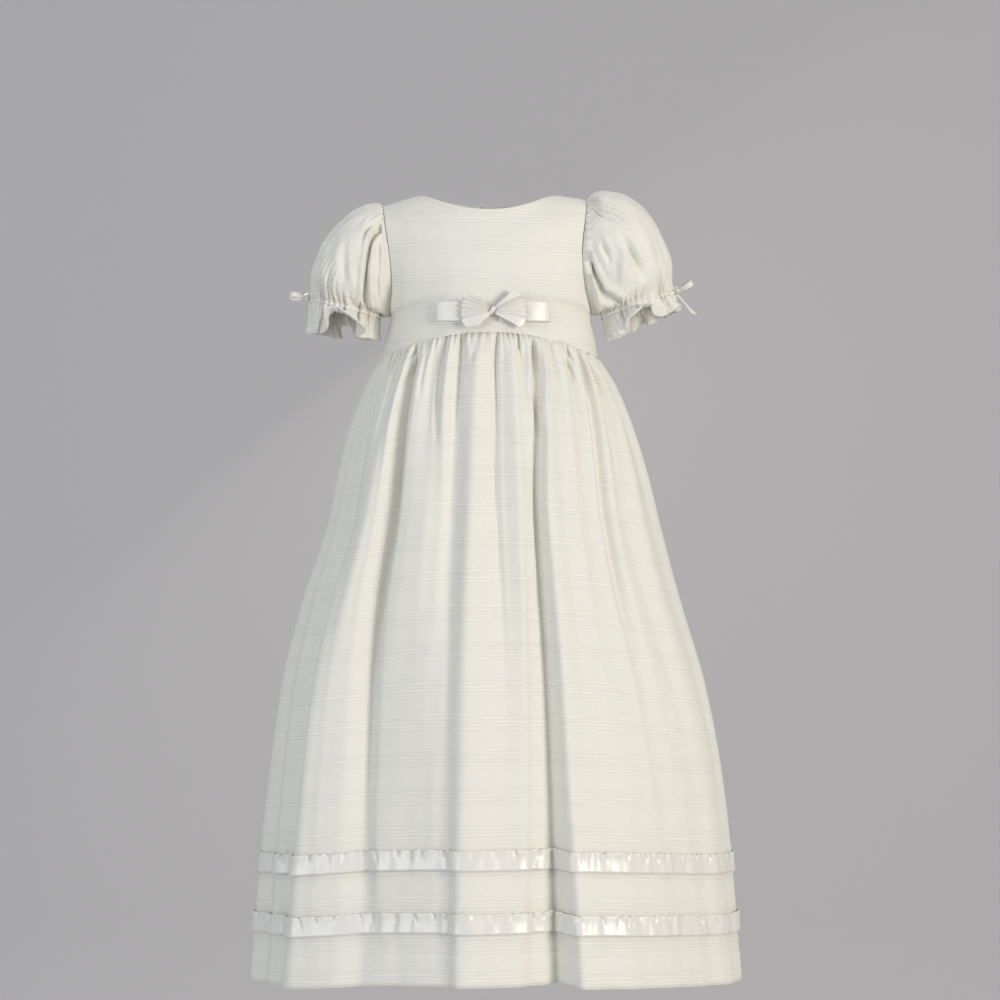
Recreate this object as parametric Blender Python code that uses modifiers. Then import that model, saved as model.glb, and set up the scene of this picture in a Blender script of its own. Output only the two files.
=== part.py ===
"""Christening gown with puff sleeves, a gathered skirt, ribbon bands and a satin bow.

The gown stands filled out and hollow, as it was worn, and carries no body.
Tables and sizes are in millimetres and degrees; the meshes are in metres.
X runs to the right as the front is looked at, the front faces -Y, +Z is up.
The origin is midway between the shoulder seams, where the shoulders carry it.
"""

import math

import bmesh
import bpy
import numpy as np

MM = 0.001

# Driving sizes
WALL = 1.4
RIBBON_WALL = 1.0
GAP = 0.35
HALF_SEAM = 0.27
SHOULDER_SEAM = 0.5
END_TRIM = 0.8
WAIST_LEFT = 97.6
WAIST_RIGHT = 98.8
WAIST_FRONT = 68.0
WAIST_BACK = 66.0
WAIST_CENTRE_Z = -121.6
WAIST_SIDE_LEFT_Z = -142.4
WAIST_SIDE_RIGHT_Z = -142.4
WAIST_BACK_Z = -139.0
SHOULDER_LEFT_Z = -3.0
SHOULDER_RIGHT_Z = 3.0
NECK_SHARE = 0.64
NECK_SIDE_Z = 8.0
NECK_FRONT_Z = -10.0
NECK_BACK_Z = 1.0
NECK_FRONT_DEPTH = 45.0
NECK_BACK_DEPTH = 36.0
ARMHOLE_DEPTH = 33.0
UNDERARM = 0.275
HEM_SIDE_Z = -711.0
HEM_FRONT_Z = -692.0
HEM_BACK_Z = -704.0
BACK_LAP = 7.0

# Bodice half widths up the panel: share of the height, left, right
BODICE_WIDTHS = (
    (0.00, 97.6, 98.8),
    (0.115, 95.0, 96.5),
    (0.275, 91.6, 92.6),
    (0.427, 88.6, 86.5),
    (0.635, 90.5, 83.8),
    (0.844, 95.0, 86.5),
    (1.00, 98.0, 89.0),
)

# Bodice depth at the centre: share of the height, front, back
BODICE_DEPTHS = (
    (0.00, 68.0, 66.0),
    (0.30, 66.0, 63.0),
    (0.60, 61.0, 57.0),
    (0.85, 52.0, 47.0),
    (1.00, 45.0, 36.0),
)

BODICE_ROWS = (0.0, 0.14, 0.275, 0.30, 0.35, 0.43, 0.54, 0.66, 0.76, 0.85, 0.92, 0.97, 0.99, 1.0)
BODICE_SHARES = (0.0, 0.16, 0.32, 0.48, 0.64, 0.75, 0.85, 0.93, 0.98, 0.995, 1.0)

# Skirt sections: share down the skirt, half width left, right, half depth front, back
SKIRT_SECTIONS = (
    (0.00, 97.6, 98.8, 68.0, 66.0),
    (0.062, 115.0, 117.0, 80.0, 78.0),
    (0.131, 128.0, 132.0, 91.0, 90.0),
    (0.201, 137.0, 144.0, 99.0, 98.0),
    (0.28, 147.0, 155.0, 107.0, 106.0),
    (0.398, 169.0, 173.0, 119.0, 118.0),
    (0.526, 187.0, 194.0, 130.0, 128.0),
    (0.655, 197.0, 208.0, 138.0, 136.0),
    (0.793, 205.0, 217.0, 144.0, 142.0),
    (1.00, 214.0, 226.0, 150.0, 148.0),
)

SKIRT_LEVELS = (0.0, 0.30, 0.62, 1.0)
SKIRT_ROWS = (0.0, 0.03, 0.08, 0.17, 0.30, 0.46, 0.63, 0.794, 0.8255, 0.889, 0.9205, 1.0)
UPPER_BAND = (0.794, 0.8255)
LOWER_BAND = (0.889, 0.9205)

# Front folds from the left side seam to the right one. A row is one crest or one
# trough: its angle round the skirt at the four levels, then how far it stands out.
FRONT_FOLDS = (
    ("seam", -90.0, -90.0, -90.0, -90.0, 0, 0, 0, 0),
    ("crest", -83.0, -83.0, -82.0, -82.0, 3, 3, 4, 5),
    ("trough", -76.0, -75.0, -74.0, -74.0, -2, -1, -3, -4),
    ("crest", -70.0, -68.0, -68.0, -68.0, 3, 2, 1, 0),
    ("trough", -64.8, -61.0, -60.0, -60.0, -3, -5, -7, -9),
    ("crest", -59.5, -56.0, -54.0, -54.0, 2, -2, -4, -5),
    ("trough", -54.9, -52.5, -51.5, -51.5, -3, -1, 2, 3),
    ("crest", -50.8, -49.0, -48.5, -49.0, 3, 7, 9, 11),
    ("trough", -47.0, -46.0, -45.0, -45.0, -2, 7, 10, 13),
    ("crest", -43.6, -42.0, -39.0, -38.5, 4, 6, 8, 10),
    ("trough", -40.0, -35.8, -31.5, -29.0, -5, -8, -6, 2),
    ("crest", -33.0, -31.0, -27.4, -24.0, 3, 4, 4, 0),
    ("trough", -25.6, -21.0, -19.0, -18.0, -4, -1, -2, -3),
    ("crest", -19.0, -17.0, -15.0, -14.0, 3, 0, -3, -6),
    ("trough", -15.0, -13.3, -10.9, -9.8, -5, -4, -4, -6),
    ("crest", -5.0, -5.8, -5.3, -5.7, 4, 6, 8, 10),
    ("trough", 2.5, 3.0, 4.5, 4.0, -5, -1, 4, 8),
    ("crest", 10.5, 9.6, 8.6, 7.6, 4, 5, 4, 4),
    ("trough", 15.0, 12.0, 10.2, 9.6, -3, 2, 0, -1),
    ("crest", 20.0, 13.8, 11.6, 11.6, 2, -2, -4, -7),
    ("trough", 22.8, 15.5, 13.2, 13.6, -5, -8, -9, -13),
    ("crest", 27.0, 19.8, 18.4, 20.3, 4, 7, 9, 15),
    ("trough", 31.2, 24.5, 25.0, 27.0, -2, 4, 6, 11),
    ("crest", 36.0, 29.5, 31.0, 33.0, 3, 4, 5, 9),
    ("trough", 40.3, 34.5, 37.0, 39.0, -2, 1, 3, 5),
    ("crest", 45.5, 38.0, 41.5, 45.0, 3, 3, 2, 2),
    ("trough", 50.9, 41.5, 45.5, 50.0, -4, -4, 0, 0),
    ("crest", 55.0, 46.0, 50.5, 56.0, 3, 2, 1, -1),
    ("trough", 59.6, 52.0, 57.0, 62.0, -3, -1, 0, -2),
    ("crest", 67.0, 61.0, 65.0, 69.0, 4, 4, 3, 2),
    ("trough", 76.0, 73.0, 75.0, 77.0, -2, 0, 1, 3),
    ("crest", 83.0, 82.5, 83.0, 84.0, 3, 3, 4, 4),
    ("seam", 90.0, 90.0, 90.0, 90.0, 0, 0, 0, 0),
)

# Back folds from the right side seam round to the left one, in the same columns
BACK_FOLDS = (
    ("seam", 90.0, 90.0, 90.0, 90.0, 0, 0, 0, 0),
    ("crest", 97.0, 97.0, 98.0, 98.0, 3, 4, 5, 5),
    ("trough", 105.0, 108.0, 108.0, 107.0, -3, -4, -5, -7),
    ("crest", 113.0, 117.0, 116.0, 116.0, 3, 2, -1, -3),
    ("trough", 121.0, 124.0, 123.0, 124.0, -4, 0, 3, 5),
    ("crest", 129.0, 130.0, 131.0, 133.0, 3, 6, 9, 12),
    ("trough", 137.0, 138.0, 139.0, 142.0, -4, 1, 4, 6),
    ("crest", 144.0, 144.0, 146.0, 150.0, 4, 0, -3, -6),
    ("trough", 151.0, 152.0, 154.0, 157.0, -4, -7, -9, -12),
    ("crest", 158.0, 158.0, 161.0, 164.0, 3, 6, 8, 10),
    ("trough", 166.0, 166.0, 168.0, 170.0, -3, 3, 6, 8),
    ("crest", 173.0, 174.0, 175.0, 176.0, 3, 2, 0, -2),
    ("trough", 181.0, 181.0, 182.0, 182.0, -5, -8, -9, -10),
    ("crest", 189.0, 190.0, 191.0, 192.0, 4, 7, 8, 9),
    ("trough", 197.0, 198.0, 199.0, 201.0, -3, 2, 5, 8),
    ("crest", 205.0, 206.0, 207.0, 210.0, 3, 0, -2, -4),
    ("trough", 213.0, 213.0, 215.0, 217.0, -4, -6, -8, -9),
    ("crest", 221.0, 221.0, 223.0, 226.0, 4, 6, 8, 11),
    ("trough", 230.0, 231.0, 233.0, 236.0, -3, 0, 3, 7),
    ("crest", 239.0, 241.0, 243.0, 245.0, 3, -1, -3, -4),
    ("trough", 248.0, 249.0, 251.0, 252.0, -4, -5, -6, -8),
    ("crest", 257.0, 258.0, 259.0, 260.0, 3, 4, 5, 5),
    ("seam", 270.0, 270.0, 270.0, 270.0, 0, 0, 0, 0),
)

# Sleeve sections: share from armhole to cuff, under point (out, up), top point
# (out, up), half depth to the front and back. Out is away from the middle.
SLEEVE_LEFT = (
    (0.00, 92.2, -104.1, 98.6, -3.0, 33.0),
    (0.05, 93.6, -104.7, 103.5, -1.0, 35.5),
    (0.14, 95.0, -105.0, 112.0, -1.5, 38.5),
    (0.27, 96.4, -104.9, 124.0, -6.0, 41.0),
    (0.42, 97.8, -104.6, 138.0, -17.5, 42.5),
    (0.57, 99.0, -103.9, 150.0, -32.0, 42.5),
    (0.72, 100.1, -103.0, 158.5, -48.0, 41.0),
    (0.86, 101.0, -102.0, 163.5, -67.0, 37.5),
    (1.00, 101.8, -100.8, 161.5, -86.0, 29.5),
)
SLEEVE_RIGHT = (
    (0.00, 93.2, -102.4, 89.6, 3.0, 33.0),
    (0.05, 94.4, -102.7, 95.0, 8.0, 35.5),
    (0.14, 95.8, -102.9, 104.5, 10.5, 38.5),
    (0.27, 97.2, -103.0, 118.5, 9.0, 41.0),
    (0.42, 98.5, -102.7, 135.0, 0.5, 42.5),
    (0.57, 99.7, -102.7, 149.0, -14.5, 42.5),
    (0.72, 100.8, -102.5, 159.0, -34.0, 41.0),
    (0.86, 101.8, -102.1, 166.0, -57.0, 37.5),
    (1.00, 102.8, -101.5, 165.0, -79.5, 29.5),
)

SLEEVE_COLUMNS = 44
SLEEVE_ROWS = (0.0, 0.05, 0.14, 0.27, 0.42, 0.57, 0.72, 0.86, 1.0)
CUFF_WIDTH = 6.0
RUFFLE_LENGTHS = {-1: (24.0, 5.0), 1: (17.5, -2.0)}

# Sleeve folds: share and angle where a fold starts, where it ends, depth, half width
FOLDS_LEFT = (
    (0.05, 62.0, 0.95, 142.0, -6.0, 13.0),
    (0.05, 86.0, 0.90, 165.0, 3.0, 12.0),
    (0.02, 40.0, 0.60, 66.0, -2.5, 10.0),
    (0.45, 20.0, 1.00, 34.0, -2.5, 12.0),
    (0.02, 300.0, 0.90, 220.0, -5.0, 13.0),
    (0.02, 330.0, 0.80, 290.0, -3.0, 12.0),
    (0.50, 345.0, 1.00, 330.0, -2.5, 12.0),
)
FOLDS_RIGHT = (
    (0.05, 118.0, 1.00, 128.0, -5.0, 11.0),
    (0.20, 78.0, 1.00, 72.0, -3.5, 10.0),
    (0.02, 36.0, 0.55, 52.0, -3.5, 9.0),
    (0.10, 100.0, 0.80, 98.0, 2.5, 11.0),
    (0.50, 26.0, 1.00, 30.0, -2.0, 12.0),
    (0.02, 240.0, 0.90, 232.0, -5.0, 12.0),
    (0.02, 320.0, 0.80, 285.0, -3.0, 12.0),
)

# Ruffle flutes: angle round the cuff and how far the ruffle leans out there
RUFFLE_LEFT = (
    (0, 4), (20, 16), (42, 2), (62, 22), (84, 74), (106, 22), (130, 4), (152, 12),
    (172, 2), (196, 10), (222, 6), (246, 36), (270, 6), (296, 38), (320, 4), (342, 16),
)
RUFFLE_RIGHT = (
    (0, 6), (16, 24), (34, 4), (50, 34), (66, 12), (94, 58), (112, 12), (134, 4),
    (156, 10), (178, 2), (202, 10), (226, 4), (250, 36), (274, 6), (302, 38), (332, 4),
)

# Free ribbon ends: the left one hangs inside the cuff, the right one from the knot
TAIL_LEFT = (
    (-131.5, -26.3, -95.5), (-130.8, -25.8, -102.0), (-128.8, -25.6, -110.0),
    (-126.0, -26.2, -119.0),
)
TAIL_RIGHT = (
    (171.8, -0.7, -84.0), (176.6, -1.6, -89.0), (182.0, -2.4, -95.5), (188.0, -3.0, -102.5),
)

# Bow outline seen from the front, from the bow's centre: across, up
FAN_LEFT = ((-15.0, -16.5), (-23.0, -14.0), (-26.0, -5.0), (-26.5, 4.0), (-24.5, 12.5))
FAN_RIGHT = ((21.0, -15.0), (28.0, -12.0), (29.5, -2.0), (28.0, 8.0), (19.0, 17.5))
BOW_X = 2.6
BOW_Z = -104.0

COTTON = (0.86, 0.84, 0.79, 1.0)
SATIN = (0.90, 0.87, 0.80, 1.0)
PEARL = (0.88, 0.86, 0.81, 1.0)


def curve(x, xs, ys):
    """A smooth curve through the points (xs, ys) that doesn't overshoot them."""
    x = np.asarray(x, dtype=float)
    xs = np.asarray(xs, dtype=float)
    ys = np.asarray(ys, dtype=float)
    step = np.diff(xs)
    slope = np.diff(ys) / step
    tangent = np.empty(len(xs))
    tangent[0] = slope[0]
    tangent[-1] = slope[-1]
    same = slope[:-1] * slope[1:] > 0
    mean = 2.0 * slope[:-1] * slope[1:] / np.where(same, slope[:-1] + slope[1:], 1.0)
    tangent[1:-1] = np.where(same, mean, 0.0)
    i = np.clip(np.searchsorted(xs, x, side="right") - 1, 0, len(step) - 1)
    u = np.clip((x - xs[i]) / step[i], 0.0, 1.0)
    h = step[i]
    return (
        ys[i] * (1 + 2 * u) * (1 - u) ** 2
        + h * tangent[i] * u * (1 - u) ** 2
        + ys[i + 1] * u * u * (3 - 2 * u)
        + h * tangent[i + 1] * u * u * (u - 1)
    )


def column(table, index):
    return [row[index] for row in table]


def round_curve(angle, table):
    """A smooth curve round a ring from rows of (angle, value)."""
    angles = [row[0] for row in table]
    values = [row[1] for row in table]
    turns = [a - 360 for a in angles] + angles + [a + 360 for a in angles]
    return curve(np.mod(angle, 360.0), turns, values * 3)


def bump(distance, half_width):
    x = np.clip(np.abs(distance) / half_width, 0.0, 1.0)
    return 0.5 * (1.0 + np.cos(math.pi * x))


# Waist ring, shared by the bodice and the skirt


def waist_height(angle):
    """Height of the waist seam at an angle in degrees: 0 is centre front."""
    a = np.radians(angle)
    across = np.sin(a) ** 2
    side = np.where(np.sin(a) < 0, WAIST_SIDE_LEFT_Z, WAIST_SIDE_RIGHT_Z)
    centre = np.where(np.cos(a) >= 0, WAIST_CENTRE_Z, WAIST_BACK_Z)
    return centre + (side - centre) * across


# Bodice


def bodice_point(share, height, back):
    """Point of the bodice's outer face. share runs -1 to 1 across, height 0 to 1 up."""
    side = 1 if share < 0 else 2
    angle = math.degrees(math.asin(max(-1.0, min(1.0, share))))
    width = float(curve(height, column(BODICE_WIDTHS, 0), column(BODICE_WIDTHS, side)))
    x = share * width
    waist = float(waist_height(180.0 - angle if back else angle))
    neck = NECK_BACK_Z if back else NECK_FRONT_Z
    shoulder = SHOULDER_LEFT_Z if share < 0 else SHOULDER_RIGHT_Z
    inside = abs(share) / NECK_SHARE
    if inside <= 1.0:
        top = neck + (NECK_SIDE_Z - neck) * inside**2.2
    else:
        top = NECK_SIDE_Z + (shoulder - NECK_SIDE_Z) * (inside - 1.0) / (1.0 / NECK_SHARE - 1.0)
    z = waist + (top - waist) * height
    depth_table = 2 if back else 1
    centre = float(curve(height, column(BODICE_DEPTHS, 0), column(BODICE_DEPTHS, depth_table)))
    middle = 0.5 * (1.0 + UNDERARM)
    half = 0.5 * (1.0 - UNDERARM)
    if height > UNDERARM:
        oval = math.sqrt(max(0.0, 1.0 - ((height - middle) / half) ** 2))
    else:
        oval = 0.0
    edge = ARMHOLE_DEPTH * (oval if height < middle else 1.0)
    if height <= UNDERARM:
        edge = 0.0
    cosine = math.sqrt(max(0.0, 1.0 - share * share))
    ease = min(1.0, max(0.0, (height - UNDERARM) / 0.35))
    body = edge + (centre - edge) * cosine ** (1.0 + 0.7 * ease)
    if inside < 1.0:
        neck_depth = NECK_BACK_DEPTH if back else NECK_FRONT_DEPTH
        top_depth = neck_depth * (1.0 - inside**2.4) ** 0.6
    else:
        top_depth = 0.0
    above = max(0.0, (height - middle) / half)
    over_neck = 1.0 - above**2.4
    over_shoulder = math.sqrt(max(0.0, 1.0 - above * above))
    blend = min(1.0, max(0.0, (abs(share) - 0.42) / 0.24))
    blend = blend * blend * (3.0 - 2.0 * blend)
    over = over_neck + (over_shoulder - over_neck) * blend
    y = top_depth + (body - top_depth) * over
    seam = SHOULDER_SEAM if height > middle else HALF_SEAM
    y = y + seam * max(0.0, 1.0 - y / 6.0)
    if height == 0.0:
        z += HALF_SEAM
    return np.array([x, y if back else -y, z])


def front_at(x, z):
    """Front bodice's outer point and normal at a place seen from the front."""

    def find(px, pz):
        share = px / 96.0
        height = 0.3
        for _ in range(30):
            side = 1 if px < 0 else 2
            width = float(curve(height, column(BODICE_WIDTHS, 0), column(BODICE_WIDTHS, side)))
            share = px / width
            low = bodice_point(share, 0.001, False)[2]
            high = bodice_point(share, 1.0, False)[2]
            height = (pz - low) / (high - low)
        return bodice_point(share, height, False)

    point = find(x, z)
    across = find(x + 2.0, z) - find(x - 2.0, z)
    up = find(x, z + 2.0) - find(x, z - 2.0)
    normal = np.cross(across, up)
    return point, normal / np.linalg.norm(normal)


# Skirt


def fold_lines(table, share):
    """Angle and standing height of each crest and trough at one level."""
    angles = [float(curve(share, SKIRT_LEVELS, row[1:5])) for row in table]
    heights = [float(curve(share, SKIRT_LEVELS, row[5:9])) for row in table]
    return angles, heights


def skirt_row(table, share, per_fold):
    """Ring of skirt points at one level, per_fold columns between fold lines."""
    angles, heights = fold_lines(table, share)
    index = np.arange((len(table) - 1) * per_fold + 1) / per_fold
    lines = np.arange(len(table))
    angle = curve(index, lines, angles)
    out = curve(index, lines, heights)
    start = min(1.0, share / 0.04)
    out = out * start
    sections = column(SKIRT_SECTIONS, 0)
    left = float(curve(share, sections, column(SKIRT_SECTIONS, 1)))
    right = float(curve(share, sections, column(SKIRT_SECTIONS, 2)))
    front = float(curve(share, sections, column(SKIRT_SECTIONS, 3)))
    back = float(curve(share, sections, column(SKIRT_SECTIONS, 4)))
    a = np.radians(angle)
    half_width = np.where(np.sin(a) < 0, left, right)
    half_depth = np.where(np.cos(a) >= 0, front, back)
    x = half_width * np.sin(a)
    y = -half_depth * np.cos(a)
    nx = np.sin(a) / half_width
    ny = -np.cos(a) / half_depth
    size = np.hypot(nx, ny)
    x = x + out * nx / size
    y = y + out * ny / size
    top = waist_height(angle)
    centre = np.where(np.cos(a) >= 0, HEM_FRONT_Z, HEM_BACK_Z)
    hem = HEM_SIDE_Z + (centre - HEM_SIDE_Z) * np.cos(a) ** 2
    z = top + (hem - top) * share
    if share == 0.0:
        z = z - HALF_SEAM
    facing = np.where(table[0][1] < 0, -1.0, 1.0)
    y[0] += facing * HALF_SEAM
    y[-1] += facing * HALF_SEAM
    return np.stack([x, y, z], axis=1)


def grid_normals(points, closed=False):
    """Unit normals of a grid of points, rows going up and columns to the right."""
    if closed:
        wide = np.concatenate([points[:, -1:], points, points[:, :1]], axis=1)
        across = wide[:, 2:] - wide[:, :-2]
    else:
        across = np.gradient(points, axis=1)
    up = np.gradient(points, axis=0)
    normal = np.cross(across, up)
    return normal / np.linalg.norm(normal, axis=2, keepdims=True)


# Sleeves


def armhole(angle, side):
    """Armhole oval: angle 0 at the shoulder, 90 at the front, 180 under the arm."""
    middle = 0.5 * (1.0 + UNDERARM)
    half = 0.5 * (1.0 - UNDERARM)
    height = middle + half * np.cos(np.radians(angle))
    columns = 1 if side < 0 else 2
    width = curve(height, column(BODICE_WIDTHS, 0), column(BODICE_WIDTHS, columns))
    low = float(waist_height(90.0 * side))
    high = SHOULDER_LEFT_Z if side < 0 else SHOULDER_RIGHT_Z
    z = low + (high - low) * height
    y = -(ARMHOLE_DEPTH + HALF_SEAM) * np.sin(np.radians(angle))
    return np.stack([side * (width + 0.7), y, z], axis=1)


def sleeve_grid(side, sections, folds, flutes, columns):
    """Rings of one sleeve from the armhole to the ruffle's edge."""
    angle = np.arange(columns) * 360.0 / columns
    cosine = np.cos(np.radians(angle))
    sine = np.sin(np.radians(angle))
    rings = []
    shares = column(sections, 0)
    for share in SLEEVE_ROWS:
        under_x, under_z, top_x, top_z, depth = (
            float(curve(share, shares, column(sections, k))) for k in range(1, 6)
        )
        if share == 0.0:
            rings.append(armhole(angle, side))
            continue
        middle = np.array([0.5 * (under_x + top_x), 0.0, 0.5 * (under_z + top_z)])
        half = np.array([0.5 * (top_x - under_x), 0.0, 0.5 * (top_z - under_z)])
        length = np.linalg.norm(half)
        out = np.zeros(columns)
        for start, start_angle, end, end_angle, depth_mm, width in folds:
            part = (share - start) / (end - start)
            if part < 0.0 or part > 1.001:
                continue
            centre = start_angle + (end_angle - start_angle) * part
            strength = min(1.0, 4.0 * part + 0.3) * min(1.0, 3.0 * (1.0 - part) + 0.4)
            apart = np.mod(angle - centre + 180.0, 360.0) - 180.0
            out += depth_mm * strength * bump(apart, width)
        ripple = np.cos(np.radians(angle * 11.0))
        near_cuff = max(0.0, (share - 0.72) / 0.28) ** 2
        near_head = max(0.0, 1.0 - abs(share - 0.07) / 0.12) * np.clip(cosine + 0.3, 0, 1)
        out += ripple * (1.4 * near_cuff + 1.6 * near_head)
        long = half * (1.0 + out / length)[:, None]
        ring = middle + long * cosine[:, None]
        ring[:, 1] -= (depth + out) * sine
        ring[:, 0] *= side
        rings.append(ring)
    cuff = rings[-1]
    centre = cuff.mean(axis=0)
    around = np.roll(cuff, -1, axis=0) - np.roll(cuff, 1, axis=0)
    across = cuff[0] - cuff[columns // 2]
    down = np.cross(across, np.array([0.0, 1.0, 0.0]))
    down = down / np.linalg.norm(down)
    if down[2] > 0:
        down = -down
    outward = np.cross(around, down)
    outward = outward / np.linalg.norm(outward, axis=1, keepdims=True)
    if np.sum(outward * (cuff - centre)) < 0:
        outward = -outward
    lower = cuff + down * CUFF_WIDTH
    rings.append(lower)
    lean = np.radians(round_curve(angle, flutes))
    length, more = RUFFLE_LENGTHS[int(side)]
    plumb = 0.8 if side < 0 else 0.25
    hang = np.array([0.0, 0.0, -1.0]) * plumb + down * (1.0 - plumb)
    hang = hang / np.linalg.norm(hang)
    for part, bend in ((0.38, 0.75), (1.0, 1.0)):
        tilt = (lean * bend)[:, None]
        run = ((length + more * cosine) * part)[:, None]
        step = hang * np.cos(tilt) + outward * np.sin(tilt)
        rings.append(lower + step * run)
    away = outward * GAP
    band = np.array([cuff + down * 1.7 + away, lower - down * 0.9 + away])
    return np.array(rings), band


# Mesh building


def fabric(name, colour, roughness):
    material = bpy.data.materials.new(name)
    material.use_nodes = True
    shader = material.node_tree.nodes["Principled BSDF"]
    shader.inputs["Base Color"].default_value = colour
    shader.inputs["Roughness"].default_value = roughness
    shader.inputs["Metallic"].default_value = 0.0
    material.diffuse_color = colour
    return material


def finish(name, bm, collection, colour, roughness):
    mesh = bpy.data.meshes.new(name)
    bm.to_mesh(mesh)
    bm.free()
    mesh.shade_smooth()
    mesh.materials.append(fabric(name, colour, roughness))
    piece = bpy.data.objects.new(name, mesh)
    collection.objects.link(piece)
    return piece


def sheet(name, points, collection, colour=COTTON, wall=WALL, tube=False, outwards=False):
    """A cloth wall on a grid of points: rows go up, columns to the right from outside."""
    rows, columns = points.shape[:2]
    if tube:
        points = np.concatenate([points, points[:, :1]], axis=1)
        columns += 1
    bm = bmesh.new()
    bmesh.ops.create_grid(bm, x_segments=columns - 1, y_segments=rows - 1, size=0.5)
    for vert in bm.verts:
        across = round((vert.co.x + 0.5) * (columns - 1))
        up = round((vert.co.y + 0.5) * (rows - 1))
        vert.co = points[up, across] * MM
    if tube:
        bmesh.ops.remove_doubles(bm, verts=bm.verts, dist=1e-6)
    piece = finish(name, bm, collection, colour, 0.85 if colour is COTTON else 0.35)
    solid = piece.modifiers.new("wall", "SOLIDIFY")
    solid.thickness = wall * MM
    solid.offset = 1.0 if outwards else -1.0
    return piece


def build_bodice(collection):
    shares = [-s for s in BODICE_SHARES[:0:-1]] + list(BODICE_SHARES)
    front = np.array([[bodice_point(s, h, False) for s in shares] for h in BODICE_ROWS])
    sheet("bodice_front", front, collection)

    lap = BACK_LAP / 92.0
    near = [0.0, 0.16]
    right = [-lap] + near[:1] + [s for s in BODICE_SHARES[1:]]
    points = np.array([[bodice_point(s, h, True) for s in right[::-1]] for h in BODICE_ROWS])
    sheet("bodice_back_right", points, collection)

    left = [lap, 0.0, -lap] + [-s for s in BODICE_SHARES[1:]]
    points = np.array([[bodice_point(s, h, True) for s in left] for h in BODICE_ROWS])
    normal = grid_normals(points)
    lift = np.array([WALL + 0.5, WALL + 0.5, WALL + 0.5] + [0.0] * (len(left) - 3))
    points = points + normal * lift[None, :, None]
    sheet("bodice_back_left", points, collection)

    for index, height in enumerate((0.22, 0.54, 0.86), start=1):
        low = bodice_point(-0.02, height - 0.02, True)
        high = bodice_point(-0.02, height + 0.02, True)
        place = 0.5 * (low + high)
        up = (high - low) / np.linalg.norm(high - low)
        out = np.cross(np.array([-1.0, 0.0, 0.0]), up)
        out = out / np.linalg.norm(out)
        bm = bmesh.new()
        bmesh.ops.create_cone(
            bm, cap_ends=True, segments=16, radius1=4.5 * MM, radius2=4.0 * MM, depth=2.4 * MM
        )
        button = finish("back_button_%d" % index, bm, collection, PEARL, 0.3)
        away = WALL + 0.5 + 0.3 + 1.2 + 0.25
        button.location = [float(v) * MM for v in place + out * away]
        button.rotation_euler = (-math.atan2(float(out[1]), float(out[2])), 0.0, 0.0)


def build_skirt(collection):
    for name, table in (("front", FRONT_FOLDS), ("back", BACK_FOLDS)):
        rows = [skirt_row(table, share, 2) for share in SKIRT_ROWS]
        points = np.array(rows[::-1])
        sheet("skirt_" + name, points, collection)
        normal = grid_normals(points)
        order = list(SKIRT_ROWS[::-1])
        for band, (top, bottom) in (("upper", UPPER_BAND), ("lower", LOWER_BAND)):
            pair = [order.index(bottom), order.index(top)]
            strip = points[pair] + normal[pair] * GAP
            for end, near in ((0, 1), (-1, -2)):
                along = strip[:, near] - strip[:, end]
                strip[:, end] += along * END_TRIM / np.linalg.norm(along, axis=1)[:, None]
            label = "ribbon_%s_%s" % (band, name)
            sheet(label, strip, collection, SATIN, RIBBON_WALL, outwards=True)


def strip_along(path, width, turn):
    """Ribbon grid along a path of points, width wide in the direction turn."""
    path = np.array(path, dtype=float)
    turn = np.asarray(turn, dtype=float)
    turn = turn / np.linalg.norm(turn)
    return np.array([path - turn * width / 2, path + turn * width / 2])


def build_sleeve(collection, name, side, sections, folds, flutes, tail):
    rings, band = sleeve_grid(side, sections, folds, flutes, SLEEVE_COLUMNS)
    rows = rings[::-1]
    strip = band[::-1]
    if side > 0:
        rows = rows[:, ::-1]
        strip = strip[:, ::-1]
    sheet("sleeve_" + name, rows, collection, tube=True)
    sheet(
        "cuff_ribbon_" + name, strip, collection, SATIN, RIBBON_WALL, tube=True, outwards=True
    )

    outer = 0.5 * (rings[8][0] + rings[9][0])
    outward = np.array([side * 0.96, -0.1, 0.25])
    outward = outward / np.linalg.norm(outward)
    centre = outer + outward * (GAP + RIBBON_WALL + 0.25 + 2.8)
    bm = bmesh.new()
    bmesh.ops.create_uvsphere(bm, u_segments=12, v_segments=8, radius=2.6 * MM)
    knot = finish("cuff_knot_" + name, bm, collection, SATIN, 0.35)
    knot.location = [float(v) * MM for v in centre]

    loop = (
        (3.3, 0.8), (6.0, 2.6), (10.0, 3.6), (14.0, 3.0), (16.0, 0.4),
        (14.6, -2.4), (10.0, -3.0), (6.0, -1.9), (3.3, -0.8),
    )
    directions = (
        ("a", np.array([side * 0.93, -0.25, 0.15 if side > 0 else 0.05])),
        ("b", np.array([side * 0.1, 1.0, 0.1])),
    )
    for label, along in directions:
        along = along / np.linalg.norm(along)
        wide = np.cross(along, np.array([0.0, 0.0, 1.0]))
        wide = wide / np.linalg.norm(wide)
        rise = np.cross(wide, along)
        path = [centre + along * a + rise * b for a, b in loop]
        points = strip_along(path, 5.0, wide)
        sheet("cuff_loop_%s_%s" % (label, name), points, collection, SATIN, 0.8)

    points = strip_along([np.array(place) for place in tail], 4.0, (0.9, 0.3, 0.0))
    sheet("cuff_tail_" + name, points, collection, SATIN, 0.8)


def bow_place(across, up, out):
    point, normal = front_at(BOW_X + across, BOW_Z + up)
    return point + normal * out


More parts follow.
